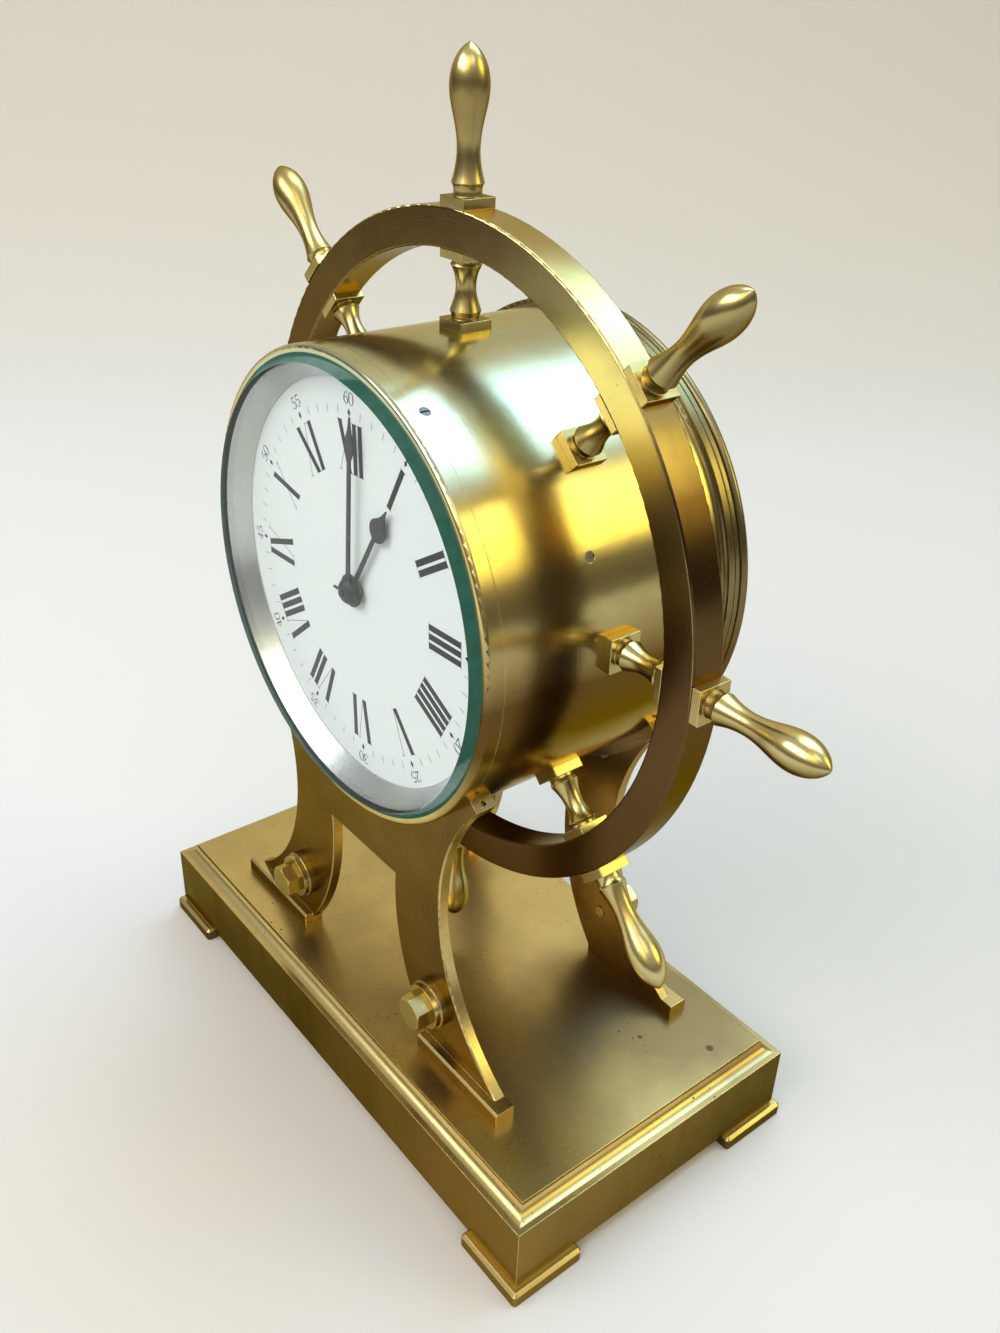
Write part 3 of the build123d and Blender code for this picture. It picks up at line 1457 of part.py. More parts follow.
with BuildPart() as minute_wheel:
    first_angle = 90 + 180 / minute_wheel_teeth
    wheel_with_arms(
        minute_place,
        minute_wheel_teeth,
        cannon_module,
        first_angle,
        minute_wheel_back - wheel_thickness,
        minute_wheel_back,
        False,
    )
    pinion(
        minute_place,
        minute_pinion_teeth,
        hour_module,
        90 + 180 / minute_pinion_teeth,
        minute_pinion_front,
        minute_wheel_back - wheel_thickness,
    )
    stud_hole = minute_stud_radius + turning_gap
    along_y(minute_place, stud_hole, minute_pinion_front, minute_wheel_back, Mode.SUBTRACT)
finish(minute_wheel, "minute_wheel")

with BuildPart() as hour_wheel:
    wheel_with_arms(centre, hour_wheel_teeth, hour_module, -90, hour_wheel_front, hour_wheel_back, False)
    along_y(centre, hour_pipe_radius, hour_pipe_end, hour_wheel_front)
    along_y(centre, cannon_tube_radius + turning_gap, hour_pipe_end, hour_wheel_back, Mode.SUBTRACT)
finish(hour_wheel, "hour_wheel")


# A pear-shaped hand, drawn upright and turned to its angle clockwise from twelve
def make_hand(boss_radius, shaft_width, pear_ring, pear_radius, stretch, tip, angle, front, hole):
    half_shaft = shaft_width / 2
    half_neck = hand_neck_share * half_shaft
    half_tip = hand_tip_share * half_shaft
    neck = (half_neck, pear_ring - stretch * sqrt(pear_radius**2 - half_neck**2))
    cheek = (pear_radius, pear_ring)
    brow_x = pear_radius * cos(radians(pear_brow_angle))
    brow_y = pear_ring + stretch * pear_radius * sin(radians(pear_brow_angle))
    ogee = (ogee_width_share * brow_x, brow_y + ogee_height_share * (tip - brow_y))
    across = (cos(radians(angle)), 0, -sin(radians(angle)))
    back_of_hand = Plane(origin=(0, front + hand_thickness, wheel_height), x_dir=across, z_dir=(0, -1, 0))
    with BuildPart() as hand:
        with BuildSketch(back_of_hand):
            with BuildLine():
                Polyline((0, 0), (half_shaft, 0), neck)
                ThreePointArc(neck, cheek, (brow_x, brow_y))
                ThreePointArc((brow_x, brow_y), ogee, (half_tip, tip))
                Line((half_tip, tip), (0, tip))
                mirror(about=Plane.YZ)
            make_face()
            Circle(boss_radius)
            if hole == "round":
                Circle(hour_pipe_radius + seat_gap, mode=Mode.SUBTRACT)
            else:
                hole_side = cannon_square + 2 * seat_gap
                Rectangle(hole_side, hole_side, rotation=angle, mode=Mode.SUBTRACT)
        extrude(amount=hand_thickness)
    return hand


hour_hand = make_hand(
    hour_boss_radius,
    hour_shaft_width,
    hour_pear_ring,
    hour_pear_radius,
    hour_pear_stretch_share,
    hour_tip,
    hour_hand_angle,
    hour_hand_front,
    "round",
)
finish(hour_hand, "hour_hand")
minute_hand = make_hand(
    minute_boss_radius,
    minute_shaft_width,
    minute_pear_ring,
    minute_pear_radius,
    minute_pear_stretch_share,
    minute_tip,
    minute_hand_angle,
    minute_hand_front,
    "square",
)
finish(minute_hand, "minute_hand")

# Domed nut on the centre arbor, and the taper pin through both
with BuildPart() as hand_nut:
    nut_back = minute_hand_front - nut_gap
    with BuildSketch(section()):
        with BuildLine():
            bore = centre_front_radius + seat_gap
            crown_start = (nut_front, bore)
            Line(crown_start, (nut_back, bore))
            Line((nut_back, bore), (nut_back, nut_radius))
            ThreePointArc(
                (nut_back, nut_radius),
                (nut_front + nut_dome_depth_share * (nut_back - nut_front), nut_dome_share * nut_radius),
                crown_start,
            )
        make_face()
    revolve(axis=drum_axis)
    with BuildSketch(Plane(origin=(0, taper_pin_place, wheel_height), x_dir=(0, 1, 0), z_dir=(1, 0, 0))):
        Circle(taper_pin_radius + seat_gap)
    extrude(amount=nut_radius + overrun, both=True, mode=Mode.SUBTRACT)
    with BuildSketch(
        Plane(origin=(-taper_pin_left, taper_pin_place, wheel_height), x_dir=(0, 1, 0), z_dir=(1, 0, 0))
    ):
        Circle(taper_pin_radius)
    extrude(amount=taper_pin_left + taper_pin_right)
finish(hand_nut, "hand_nut")
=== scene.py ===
import bpy
import bmesh
from math import cos, sin, pi, radians
from mathutils import Matrix, Vector


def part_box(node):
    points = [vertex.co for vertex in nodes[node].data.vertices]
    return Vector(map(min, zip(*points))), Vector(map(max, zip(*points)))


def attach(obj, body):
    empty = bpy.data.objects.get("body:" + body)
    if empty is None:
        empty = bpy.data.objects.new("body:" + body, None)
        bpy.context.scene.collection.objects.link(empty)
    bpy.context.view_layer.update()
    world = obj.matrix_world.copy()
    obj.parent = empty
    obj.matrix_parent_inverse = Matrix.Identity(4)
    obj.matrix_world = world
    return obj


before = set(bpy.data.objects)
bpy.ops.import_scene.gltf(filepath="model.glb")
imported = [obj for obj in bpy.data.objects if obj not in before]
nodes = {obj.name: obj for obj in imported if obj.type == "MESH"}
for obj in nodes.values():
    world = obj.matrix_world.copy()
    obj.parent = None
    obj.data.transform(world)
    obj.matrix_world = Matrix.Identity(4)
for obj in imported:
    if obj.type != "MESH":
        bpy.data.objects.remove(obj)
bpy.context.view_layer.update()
mm = 0.001
print("frame loaded:", len(nodes), "nodes")

# places that several pieces share, in metres
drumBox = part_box("drum_case")
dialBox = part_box("dial")
axisHeight = (drumBox[0][2] + drumBox[1][2]) / 2
dialFront = dialBox[0][1]


# a material with its Principled shader, and the place of each point on the clock, ready to wire
def newMaterial(name):
    material = bpy.data.materials.new(name)
    material.use_nodes = True
    tree = material.node_tree
    return material, tree, tree.nodes["Principled BSDF"], addNode(tree, "ShaderNodeTexCoord").outputs["Object"]


def addNode(tree, kind, **values):
    node = tree.nodes.new(kind)
    for key, value in values.items():
        setattr(node, key, value)
    return node


# puts a number, a colour or another node's output on each socket named
def wire(tree, node, values):
    for key, value in values.items():
        socket = node.inputs[key]
        if isinstance(value, bpy.types.NodeSocket):
            tree.links.new(value, socket)
        elif socket.type == "RGBA":
            socket.default_value = (*value, 1.0)
        else:
            socket.default_value = value


def noiseAt(tree, place, scale, detail=4.0, rough=0.55):
    noise = addNode(tree, "ShaderNodeTexNoise")
    wire(tree, noise, {"Vector": place, "Scale": scale, "Detail": detail, "Roughness": rough})
    return noise.outputs["Fac"]


def rampOf(tree, source, places, colours):
    ramp = addNode(tree, "ShaderNodeValToRGB")
    elements = ramp.color_ramp.elements
    while len(elements) < len(places):
        elements.new(0.5)
    for element, place, colour in zip(elements, places, colours):
        element.position = place
        element.color = (*colour, 1.0)
    wire(tree, ramp, {"Fac": source})
    return ramp.outputs["Color"]


# low where the source is at fromLow or below it, high where it's at fromHigh or above it
def rangeOf(tree, source, low, high, fromLow=0.0, fromHigh=1.0):
    mapper = addNode(tree, "ShaderNodeMapRange")
    wire(tree, mapper, {
        "Value": source, "From Min": fromLow, "From Max": fromHigh, "To Min": low, "To Max": high,
    })
    return mapper.outputs["Result"]


def mixColour(tree, factor, first, second, blend="MIX"):
    mix = addNode(tree, "ShaderNodeMix", data_type="RGBA", blend_type=blend)
    wire(tree, mix, {0: factor, 6: first, 7: second})
    return mix.outputs[2]


def mathOf(tree, operation, *values, clamp=False):
    node = addNode(tree, "ShaderNodeMath", operation=operation, use_clamp=clamp)
    wire(tree, node, dict(enumerate(values)))
    return node.outputs[0]


# two masks in one
def maskOf(tree, first, second, operation="MULTIPLY"):
    return mathOf(tree, operation, first, second, clamp=True)


def vectorMathOf(tree, operation, *vectors):
    node = addNode(tree, "ShaderNodeVectorMath", operation=operation)
    wire(tree, node, dict(enumerate(vectors)))
    return node.outputs["Value"]


def splitOf(tree, vector):
    split = addNode(tree, "ShaderNodeSeparateXYZ")
    wire(tree, split, {"Vector": vector})
    return split.outputs


def joinOf(tree, *values):
    joined = addNode(tree, "ShaderNodeCombineXYZ")
    wire(tree, joined, dict(enumerate(values)))
    return joined.outputs["Vector"]


def stretched(tree, place, scale):
    mapping = addNode(tree, "ShaderNodeMapping")
    wire(tree, mapping, {"Vector": place, "Scale": scale})
    return mapping.outputs["Vector"]


def bumpOf(tree, height, strength, distance, normal=None):
    bump = addNode(tree, "ShaderNodeBump")
    wire(tree, bump, {"Height": height, "Strength": strength, "Distance": distance})
    if normal is not None:
        wire(tree, bump, {"Normal": normal})
    return bump.outputs["Normal"]


turnStretch = 0.004  # metres that one radian round the axis counts for, so that turned grain runs round it


# how far a point lies from the drum's axis, how deep it is and its angle round the axis, as one vector,
# and the first of these by itself
def turnedPlace(tree, place):
    split = splitOf(tree, place)
    level = mathOf(tree, "SUBTRACT", split["Z"], axisHeight)
    reach = vectorMathOf(tree, "LENGTH", joinOf(tree, split["X"], level))
    angle = mathOf(tree, "ARCTAN2", level, split["X"])
    return joinOf(tree, reach, split["Y"], mathOf(tree, "MULTIPLY", angle, turnStretch)), reach


# how far a normal may lean before a face no longer counts as a front one, or as an upright one
faceLean = {"front": (-0.97, -0.86), "upright": (0.04, 0.2)}


# 1 on faces that look to the front, or on all the upright ones, and 0 on the rest
def facesMask(tree, which):
    split = splitOf(tree, addNode(tree, "ShaderNodeTexCoord").outputs["Normal"])
    lean = split["Y"] if which == "front" else mathOf(tree, "ABSOLUTE", split["Z"])
    return rangeOf(tree, lean, 1.0, 0.0, *faceLean[which])


# wear along edges: how far the rounded and the flat normal agree where it's full and where it ends, and its breaks
edgeWear = {"agree": (0.88, 0.985), "breakScale": 240.0, "breakRange": (0.35, 0.6), "least": 0.35, "samples": 4}


# rounded normals at sharp edges, and 1 along those edges where they are worn
def wornEdges(tree, place, radius):
    bevel = addNode(tree, "ShaderNodeBevel", samples=edgeWear["samples"])
    wire(tree, bevel, {"Radius": radius})
    rounded = bevel.outputs["Normal"]
    flat = addNode(tree, "ShaderNodeNewGeometry").outputs["Normal"]
    edge = rangeOf(tree, vectorMathOf(tree, "DOT_PRODUCT", rounded, flat), 1.0, 0.0, *edgeWear["agree"])
    breaks = noiseAt(tree, place, edgeWear["breakScale"], detail=3.0)
    return rounded, maskOf(tree, edge, rangeOf(tree, breaks, edgeWear["least"], 1.0, *edgeWear["breakRange"]))


# what all the brass shares, unless a finish says otherwise: Places are where on the clouds each colour sits, a Range
# is where a mask starts and ends, and a Depth is how strong it gets
brassCommon = {
    "cloudDetail": 5.0, "cloudRough": 0.6, "cloudPlaces": (0.30, 0.52, 0.74), "roughRange": (0.3, 0.7),
    "satinPlaces": (0.30, 0.72), "satinSpread": (0.05, -0.04), "streakRange": (0.42, 0.70), "streakDepth": 0.6,
    "litInner": 0.012, "litDepth": 0.95, "ragged": 0.03, "cornerHighlightRange": (0.02, 0.11), "cornerHighlightDepth": 0.45,
    "dulledRange": (0.035, 0.065), "dulledDepth": 0.8, "underRange": (-0.4, 0.45), "shadeScale": 18.0,
    "outsideSoft": (0.0015, 0.0005), "footDepth": 0.12, "crownDepth": 0.8, "spotCore": 0.4, "patchScale": 0.09,
    "patchRange": (0.50, 0.66), "spotRough": 0.3, "markCore": 0.7, "markDepth": 0.75, "steelSoft": 0.0002,
    "waveHeight": 0.001, "grainHeight": 0.0001, "grazing": (0.8, 0.66, 0.38),
}


# satin faces, darker with painted shade standing in for the table they mirror, with streaks; a painted highlight where
# they are lit and near given corners, and painted shade around given places on the other faces
def satinAndShadeLayer(tree, place, cloud, colour, rough, look):
    satin = facesMask(tree, look["satinFaces"])
    satinShadeColour = rampOf(tree, cloud, look["satinPlaces"], (look["satinShadeDark"], look["satinShadeLight"]))
    colour = mixColour(tree, satin, colour, satinShadeColour)
    roughEnds = (look["satinRough"] + spread for spread in look["satinSpread"])
    roughMix = addNode(tree, "ShaderNodeMix", data_type="FLOAT")
    wire(tree, roughMix, {0: satin, 2: rough, 3: rangeOf(tree, cloud, *roughEnds, *look["roughRange"])})
    if "streak" in look:
        streaks = noiseAt(tree, stretched(tree, place, look["streakStretch"]), 1.0, rough=0.65)
        streaks = rangeOf(tree, streaks, 0.0, look["streakDepth"], *look["streakRange"])
        colour = mixColour(tree, maskOf(tree, streaks, satin), colour, look["streak"])
    # painted highlight: a brighter zone round one point on the satin faces
    if "lit" in look:
        away = vectorMathOf(tree, "DISTANCE", place, look["lit"])
        near = rangeOf(tree, away, look["litDepth"], 0.0, look["litInner"], look["litReach"])
        colour = mixColour(tree, maskOf(tree, near, satin), colour, look["litColour"])
    # painted highlight near given corners on the satin faces, and painted shade around given places on the others
    for zone, faces in (("cornerHighlight", satin), ("dulled", rangeOf(tree, satin, 1.0, 0.0))):
        for point in look.get(zone, ()):
            away = vectorMathOf(tree, "DISTANCE", place, point)
            away = mathOf(tree, "MULTIPLY_ADD", cloud, look["ragged"], away)
            near = rangeOf(tree, away, look[zone + "Depth"], 0.0, *look[zone + "Range"])
            colour = mixColour(tree, maskOf(tree, near, faces), colour, look[zone + "Colour"])
    return colour, roughMix.outputs[0]


# painted shade: darker below some height, standing in for the table mirrored in the brass; and a painted highlight,
# paler at the top, standing in for the sky mirrored there
def paintedShadeAndCrownHighlight(tree, place, reach, colour, look):
    drift = noiseAt(tree, place, look["shadeScale"], detail=3.0)
    height = mathOf(tree, "MULTIPLY_ADD", drift, look["shadeDrift"], splitOf(tree, place)["Z"])
    under = rangeOf(tree, height, 1.0, 0.0, *look["shadeHeights"])
    # the painted shade reaches higher on the outside of a ring
    if "outsideRadius" in look:
        ends = (look["outsideRadius"] - soft for soft in look["outsideSoft"])
        outside = rangeOf(tree, reach, 0.0, 1.0, *ends)
        more = rangeOf(tree, height, 1.0, 0.0, *look["outsideHeights"])
        under = maskOf(tree, under, maskOf(tree, more, outside), "MAXIMUM")
    # the painted shade fades out again towards the bottom
    if "shadeFoot" in look:
        foot = rangeOf(tree, height, look["footDepth"], 1.0, *look["shadeFoot"])
        under = maskOf(tree, under, foot)
    colour = mixColour(tree, under, colour, look["shade"])
    # painted highlight: paler, greener brass at the top
    if "crown" in look:
        above = rangeOf(tree, height, 0.0, look["crownDepth"], *look["crownHeights"])
        colour = mixColour(tree, above, colour, look["crown"])
    return colour


# small dark spots in patches, and single larger marks in their places
def spotMask(tree, place, look):
    spots = addNode(tree, "ShaderNodeTexVoronoi", feature="F1")
    wire(tree, spots, {"Vector": place, "Scale": look["spotScale"]})
    spotted = rangeOf(tree, spots.outputs["Distance"], 1.0, 0.0, look["spotSize"] * look["spotCore"], look["spotSize"])
    patches = noiseAt(tree, place, look["spotScale"] * look["patchScale"], detail=3.0)
    spotted = maskOf(tree, spotted, rangeOf(tree, patches, 0.0, look["spotDepth"], *look["patchRange"]))
    for point, size in look.get("marks", ()):
        away = vectorMathOf(tree, "DISTANCE", place, point)
        mark = rangeOf(tree, away, look["markDepth"], 0.0, size * look["markCore"], size)
        spotted = maskOf(tree, spotted, mark, "MAXIMUM")
    return spotted


# brass: clouds of tarnish, spots, grain lines, and the layers above, with their painted shade and highlights, where the
# finish asks for them
def brassMaterial(name, finish):
    look = {**brassCommon, **finish}
    material, tree, shader, place = newMaterial(name)
    if look["grain"] == "turned":
        grainPlace, reach = turnedPlace(tree, place)
    else:
        grainPlace, reach = stretched(tree, place, look["grain"]), None
    edgeNormal, edge = wornEdges(tree, place, look["edgeRadius"])
    cloud = noiseAt(tree, place, look["cloudScale"], look["cloudDetail"], look["cloudRough"])
    colour = rampOf(tree, cloud, look["cloudPlaces"], (look["dark"], look["middle"], look["light"]))
    rough = rangeOf(tree, cloud, look["roughHigh"], look["roughLow"], *look["roughRange"])
    if "satinFaces" in look:
        colour, rough = satinAndShadeLayer(tree, place, cloud, colour, rough, look)
    # painted shade: faces turned down are darker, standing in for the table they mirror
    if "under" in look:
        normal = addNode(tree, "ShaderNodeTexCoord").outputs["Normal"]
        below = rangeOf(tree, splitOf(tree, normal)["Z"], look["underDepth"], 0.0, *look["underRange"])
        colour = mixColour(tree, below, colour, look["under"])
    if "shade" in look:
        colour = paintedShadeAndCrownHighlight(tree, place, reach, colour, look)
    spotted = spotMask(tree, place, look)
    colour = mixColour(tree, spotted, colour, look["spot"])
    colour = mixColour(tree, edge, colour, look["light"])
    if "steelAhead" in look:
        depth = splitOf(tree, place)["Y"]
        ahead = rangeOf(tree, depth, 1.0, 0.0, look["steelAhead"] - look["steelSoft"], look["steelAhead"])
        colour = mixColour(tree, ahead, colour, look["steel"])
    wave = noiseAt(tree, place, look["waveScale"], detail=2.0, rough=0.5)
    waveNormal = bumpOf(tree, wave, look["waveBump"], look["waveHeight"], edgeNormal)
    grain = noiseAt(tree, grainPlace, look["grainScale"], detail=3.0, rough=0.6)
    wire(tree, shader, {
        "Base Color": colour, "Metallic": 1.0, "Specular Tint": look["grazing"],
        "Roughness": mathOf(tree, "MULTIPLY_ADD", spotted, look["spotRough"], rough),
        "Normal": bumpOf(tree, grain, look["grainBump"], look["grainHeight"], waveNormal),
    })
    return material


# painted shade: faces turned down are darker
polishedBrass = brassMaterial("polishedBrass", {
    "light": (0.82, 0.72, 0.36), "middle": (0.75, 0.61, 0.25), "dark": (0.60, 0.45, 0.15),
    "spot": (0.16, 0.10, 0.04), "cloudScale": 60.0, "spotScale": 500.0, "spotSize": 0.14, "spotDepth": 0.7,
    "roughLow": 0.20, "roughHigh": 0.32, "waveScale": 160.0, "waveBump": 0.05, "edgeRadius": 0.0003,
    "grain": (1.0, 1.0, 1.0), "grainScale": 1500.0, "grainBump": 0.05,
    "under": (0.17, 0.12, 0.045), "underDepth": 0.9, "grazing": (0.42, 0.32, 0.17),
})
# painted shade in a band round the axis height, and a painted highlight at the top
drumBrass = brassMaterial("turnedBrass", {
    "light": (0.80, 0.69, 0.30), "middle": (0.74, 0.60, 0.25), "dark": (0.60, 0.44, 0.16),
    "spot": (0.14, 0.09, 0.04), "cloudScale": 22.0, "spotScale": 210.0, "spotSize": 0.10, "spotDepth": 0.8,
    "roughLow": 0.15, "roughHigh": 0.25, "waveScale": 45.0, "waveBump": 0.16, "edgeRadius": 0.0003,
    "grain": "turned", "grainScale": 2200.0, "grainBump": 0.12,
    "shade": (0.13, 0.072, 0.022), "shadeHeights": (axisHeight + 0.004, axisHeight + 0.030), "shadeDrift": 0.02,
    "shadeFoot": (axisHeight - 0.034, axisHeight - 0.010),
    "crown": (0.68, 0.74, 0.54), "crownHeights": (axisHeight + 0.042, axisHeight + 0.062),
})
# painted shade: the base's upright faces are dark satin, darker for the table they mirror
satinBrass = brassMaterial("satinBrass", {
    "light": (0.80, 0.65, 0.28), "middle": (0.71, 0.55, 0.22), "dark": (0.54, 0.42, 0.17),
    "spot": (0.09, 0.06, 0.03), "cloudScale": 22.0, "spotScale": 360.0, "spotSize": 0.17, "spotDepth": 0.95,
    "roughLow": 0.24, "roughHigh": 0.35, "waveScale": 45.0, "waveBump": 0.07, "edgeRadius": 0.0004,
    "grain": (0.05, 1.0, 1.0), "grainScale": 2400.0, "grainBump": 0.04, "grazing": (0.62, 0.54, 0.36),
    "satinFaces": "upright", "satinShadeDark": (0.075, 0.060, 0.038), "satinShadeLight": (0.20, 0.135, 0.065), "satinRough": 0.18,
    "streak": (0.08, 0.055, 0.028), "streakStretch": (120.0, 120.0, 30.0),
    # painted highlight: brighter near two corners of the base's sides
    "cornerHighlight": ((0.092, -0.050, 0.010), (-0.092, 0.050, 0.010)), "cornerHighlightColour": (0.56, 0.36, 0.11),
    # painted shade: darker brass around one place on the base's level faces
    "dulled": ((0.070, 0.028, 0.030),), "dulledColour": (0.28, 0.20, 0.10),
    "marks": (((0.0716, 0.0187, 0.0304), 0.0008), ((0.0877, 0.0328, 0.0304), 0.0014)),
})
# painted shade: the frames' front faces are dark satin, darker for the table they mirror, and faces turned down are
# darker
frameLook = {
    "light": (0.78, 0.65, 0.32), "middle": (0.71, 0.56, 0.24), "dark": (0.56, 0.42, 0.16),
    "spot": (0.10, 0.06, 0.03), "cloudScale": 34.0, "spotScale": 520.0, "spotSize": 0.15, "spotDepth": 0.8,
    "roughLow": 0.18, "roughHigh": 0.28, "waveScale": 70.0, "waveBump": 0.06, "edgeRadius": 0.0003,
    "grain": (1.0, 1.0, 0.06), "grainScale": 2600.0, "grainBump": 0.12, "grazing": (0.62, 0.52, 0.34),
    "satinFaces": "front", "satinShadeDark": (0.09, 0.054, 0.024), "satinShadeLight": (0.19, 0.12, 0.05), "satinRough": 0.24,
    "streak": (0.07, 0.045, 0.025), "streakStretch": (60.0, 60.0, 60.0),
    "under": (0.28, 0.18, 0.06), "underDepth": 0.7,
}
frameBrass = brassMaterial("grainedBrass", frameLook)
# painted light: the rear frame's front faces in a lighter copy of the frames' satin shade
litRearFrameBrass = brassMaterial("rearGrainedBrass", {
    **frameLook, "satinShadeDark": (0.26, 0.16, 0.06), "satinShadeLight": (0.50, 0.34, 0.13),
})
# painted light on the rim: dark satin front faces and faces turned down as painted shade, a painted highlight near the
# upper right of the front, and painted shade low down and on the outside
rimBrass = brassMaterial("rimBrass", {
    "light": (0.78, 0.66, 0.34), "middle": (0.71, 0.57, 0.25), "dark": (0.57, 0.43, 0.17),
    "spot": (0.10, 0.06, 0.03), "cloudScale": 34.0, "spotScale": 520.0, "spotSize": 0.15, "spotDepth": 0.8,
    "roughLow": 0.17, "roughHigh": 0.27, "waveScale": 70.0, "waveBump": 0.06, "edgeRadius": 0.0003,
    "grain": "turned", "grainScale": 2600.0, "grainBump": 0.12, "grazing": (0.62, 0.54, 0.36),
    "satinFaces": "front", "satinShadeDark": (0.05, 0.038, 0.024), "satinShadeLight": (0.12, 0.088, 0.046), "satinRough": 0.22,
    "lit": (0.067, 0.0, 0.229), "litColour": (0.82, 0.76, 0.34), "litReach": 0.058,
    "under": (0.20, 0.12, 0.04), "underDepth": 0.9,
    "shade": (0.12, 0.07, 0.028), "shadeHeights": (axisHeight + 0.030, axisHeight + 0.082), "shadeDrift": 0.02,
    "outsideRadius": 0.09456, "outsideHeights": (axisHeight + 0.056, axisHeight + 0.086),
})
# painted shade: the rear rings in a darker copy of the brass, darker still below some height
agedBrass = brassMaterial("agedBrass", {
    "light": (0.42, 0.37, 0.20), "middle": (0.31, 0.26, 0.13), "dark": (0.19, 0.145, 0.065),
    "spot": (0.08, 0.05, 0.03), "cloudScale": 30.0, "spotScale": 300.0, "spotSize": 0.12, "spotDepth": 0.8,
    "roughLow": 0.20, "roughHigh": 0.32, "waveScale": 60.0, "waveBump": 0.08, "edgeRadius": 0.0003,
    "grain": "turned", "grainScale": 2400.0, "grainBump": 0.12,
    "shade": (0.13, 0.075, 0.028), "shadeHeights": (axisHeight, axisHeight + 0.045), "shadeDrift": 0.03,
})
movementLook = {
    "light": (0.84, 0.70, 0.38), "middle": (0.80, 0.65, 0.33), "dark": (0.74, 0.57, 0.26),
    "spot": (0.30, 0.20, 0.08), "cloudScale": 90.0, "spotScale": 900.0, "spotSize": 0.1, "spotDepth": 0.6,
    "roughLow": 0.22, "roughHigh": 0.32, "waveScale": 200.0, "waveBump": 0.02, "edgeRadius": 0.0001,
    "grain": (1.0, 1.0, 0.05), "grainScale": 4200.0, "grainBump": 0.14,
}
movementBrass = brassMaterial("movementBrass", movementLook)
# the centre arbor is steel where it comes out through the dial
centreBrass = brassMaterial("centreBrass", {**movementLook, "steelAhead": -0.030, "steel": (0.05, 0.05, 0.055)})

# what the other solid finishes share, unless one says otherwise
plainCommon = {
    "cloudDetail": 4.0, "cloudPlaces": (0.3, 0.7), "roughRange": (0.3, 0.7), "fineDetail": 5.0, "fineHeight": 0.0001,
    "metal": 0.0, "shine": 0.5, "turned": False,
}


# clouds between two colours, and a fine bump that runs round the axis on a turned piece
def plainMaterial(name, finish):
    look = {**plainCommon, **finish}
    material, tree, shader, place = newMaterial(name)
    cloud = noiseAt(tree, place, look["cloudScale"], look["cloudDetail"])
    rough = look["rough"]
    if isinstance(rough, tuple):
        rough = rangeOf(tree, cloud, *rough, *look["roughRange"])
    wire(tree, shader, {
        "Base Color": rampOf(tree, cloud, look["cloudPlaces"], (look["dark"], look["light"])),
        "Roughness": rough, "Metallic": look["metal"], "Specular IOR Level": look["shine"],
    })
    if "bump" in look:
        finePlace = turnedPlace(tree, place)[0] if look["turned"] else place
        fine = noiseAt(tree, finePlace, look["fineScale"], look["fineDetail"])
        wire(tree, shader, {"Normal": bumpOf(tree, fine, look["bump"], look["fineHeight"])})
    return material


turnedSteel = plainMaterial("turnedSteel", {
    "light": (0.30, 0.30, 0.29), "dark": (0.17, 0.17, 0.17), "cloudScale": 300.0, "cloudPlaces": (0.35, 0.65),
    "rough": (0.36, 0.52), "fineScale": 4000.0, "bump": 0.15, "metal": 1.0,
})
springSteel = plainMaterial("springSteel", {
    "light": (0.20, 0.24, 0.36), "dark": (0.10, 0.11, 0.16), "cloudScale": 200.0, "cloudPlaces": (0.35, 0.65),
    "rough": (0.2, 0.34), "fineScale": 4000.0, "bump": 0.05, "metal": 1.0,
})
bluedSteel = plainMaterial("bluedSteel", {
    "light": (0.011, 0.012, 0.018), "dark": (0.005, 0.005, 0.007), "cloudScale": 260.0, "cloudPlaces": (0.35, 0.65),
    "rough": (0.34, 0.46), "fineScale": 3500.0, "bump": 0.06, "shine": 0.25,
})
# the ring between glass and dial: satin, lightly streaked round its axis
silveredRing = plainMaterial("silveredRing", {
    "light": (0.56, 0.57, 0.56), "dark": (0.50, 0.51, 0.50), "cloudScale": 45.0, "cloudDetail": 5.0,
    "rough": (0.25, 0.29), "turned": True, "fineScale": 2600.0, "fineDetail": 3.0, "bump": 0.12, "metal": 1.0,
})
# the dial: a faint warmth in places and a trace of orange peel
whiteEnamel = plainMaterial("whiteEnamel", {
    "light": (0.80, 0.805, 0.82), "dark": (0.77, 0.785, 0.81), "cloudScale": 24.0, "cloudDetail": 3.0,
    "rough": 0.3, "fineScale": 700.0, "fineDetail": 2.0, "bump": 0.03,
})
dialPrint = plainMaterial("dialPrint", {
    "light": (0.009, 0.009, 0.009), "dark": (0.004, 0.004, 0.005), "cloudScale": 900.0, "cloudDetail": 3.0,
    "rough": (0.4, 0.5), "roughRange": (0.0, 1.0), "shine": 0.08,
})

# clear glass whose ground edge and bevel are green: flat and edge are the radii where those two start
glassLook = {
    "tint": (0.95, 0.985, 0.975), "shadowTint": (0.93, 0.97, 0.96), "bend": 1.25, "shine": 0.12,
    "ground": (0.05, 0.17, 0.13), "groundDark": (0.0375, 0.1275, 0.0975), "groundScale": 300.0,
    "groundPlaces": (0.3, 0.7), "flat": 0.0607, "edge": 0.0627, "soft": 0.0001, "bevelGreen": 0.8,
}


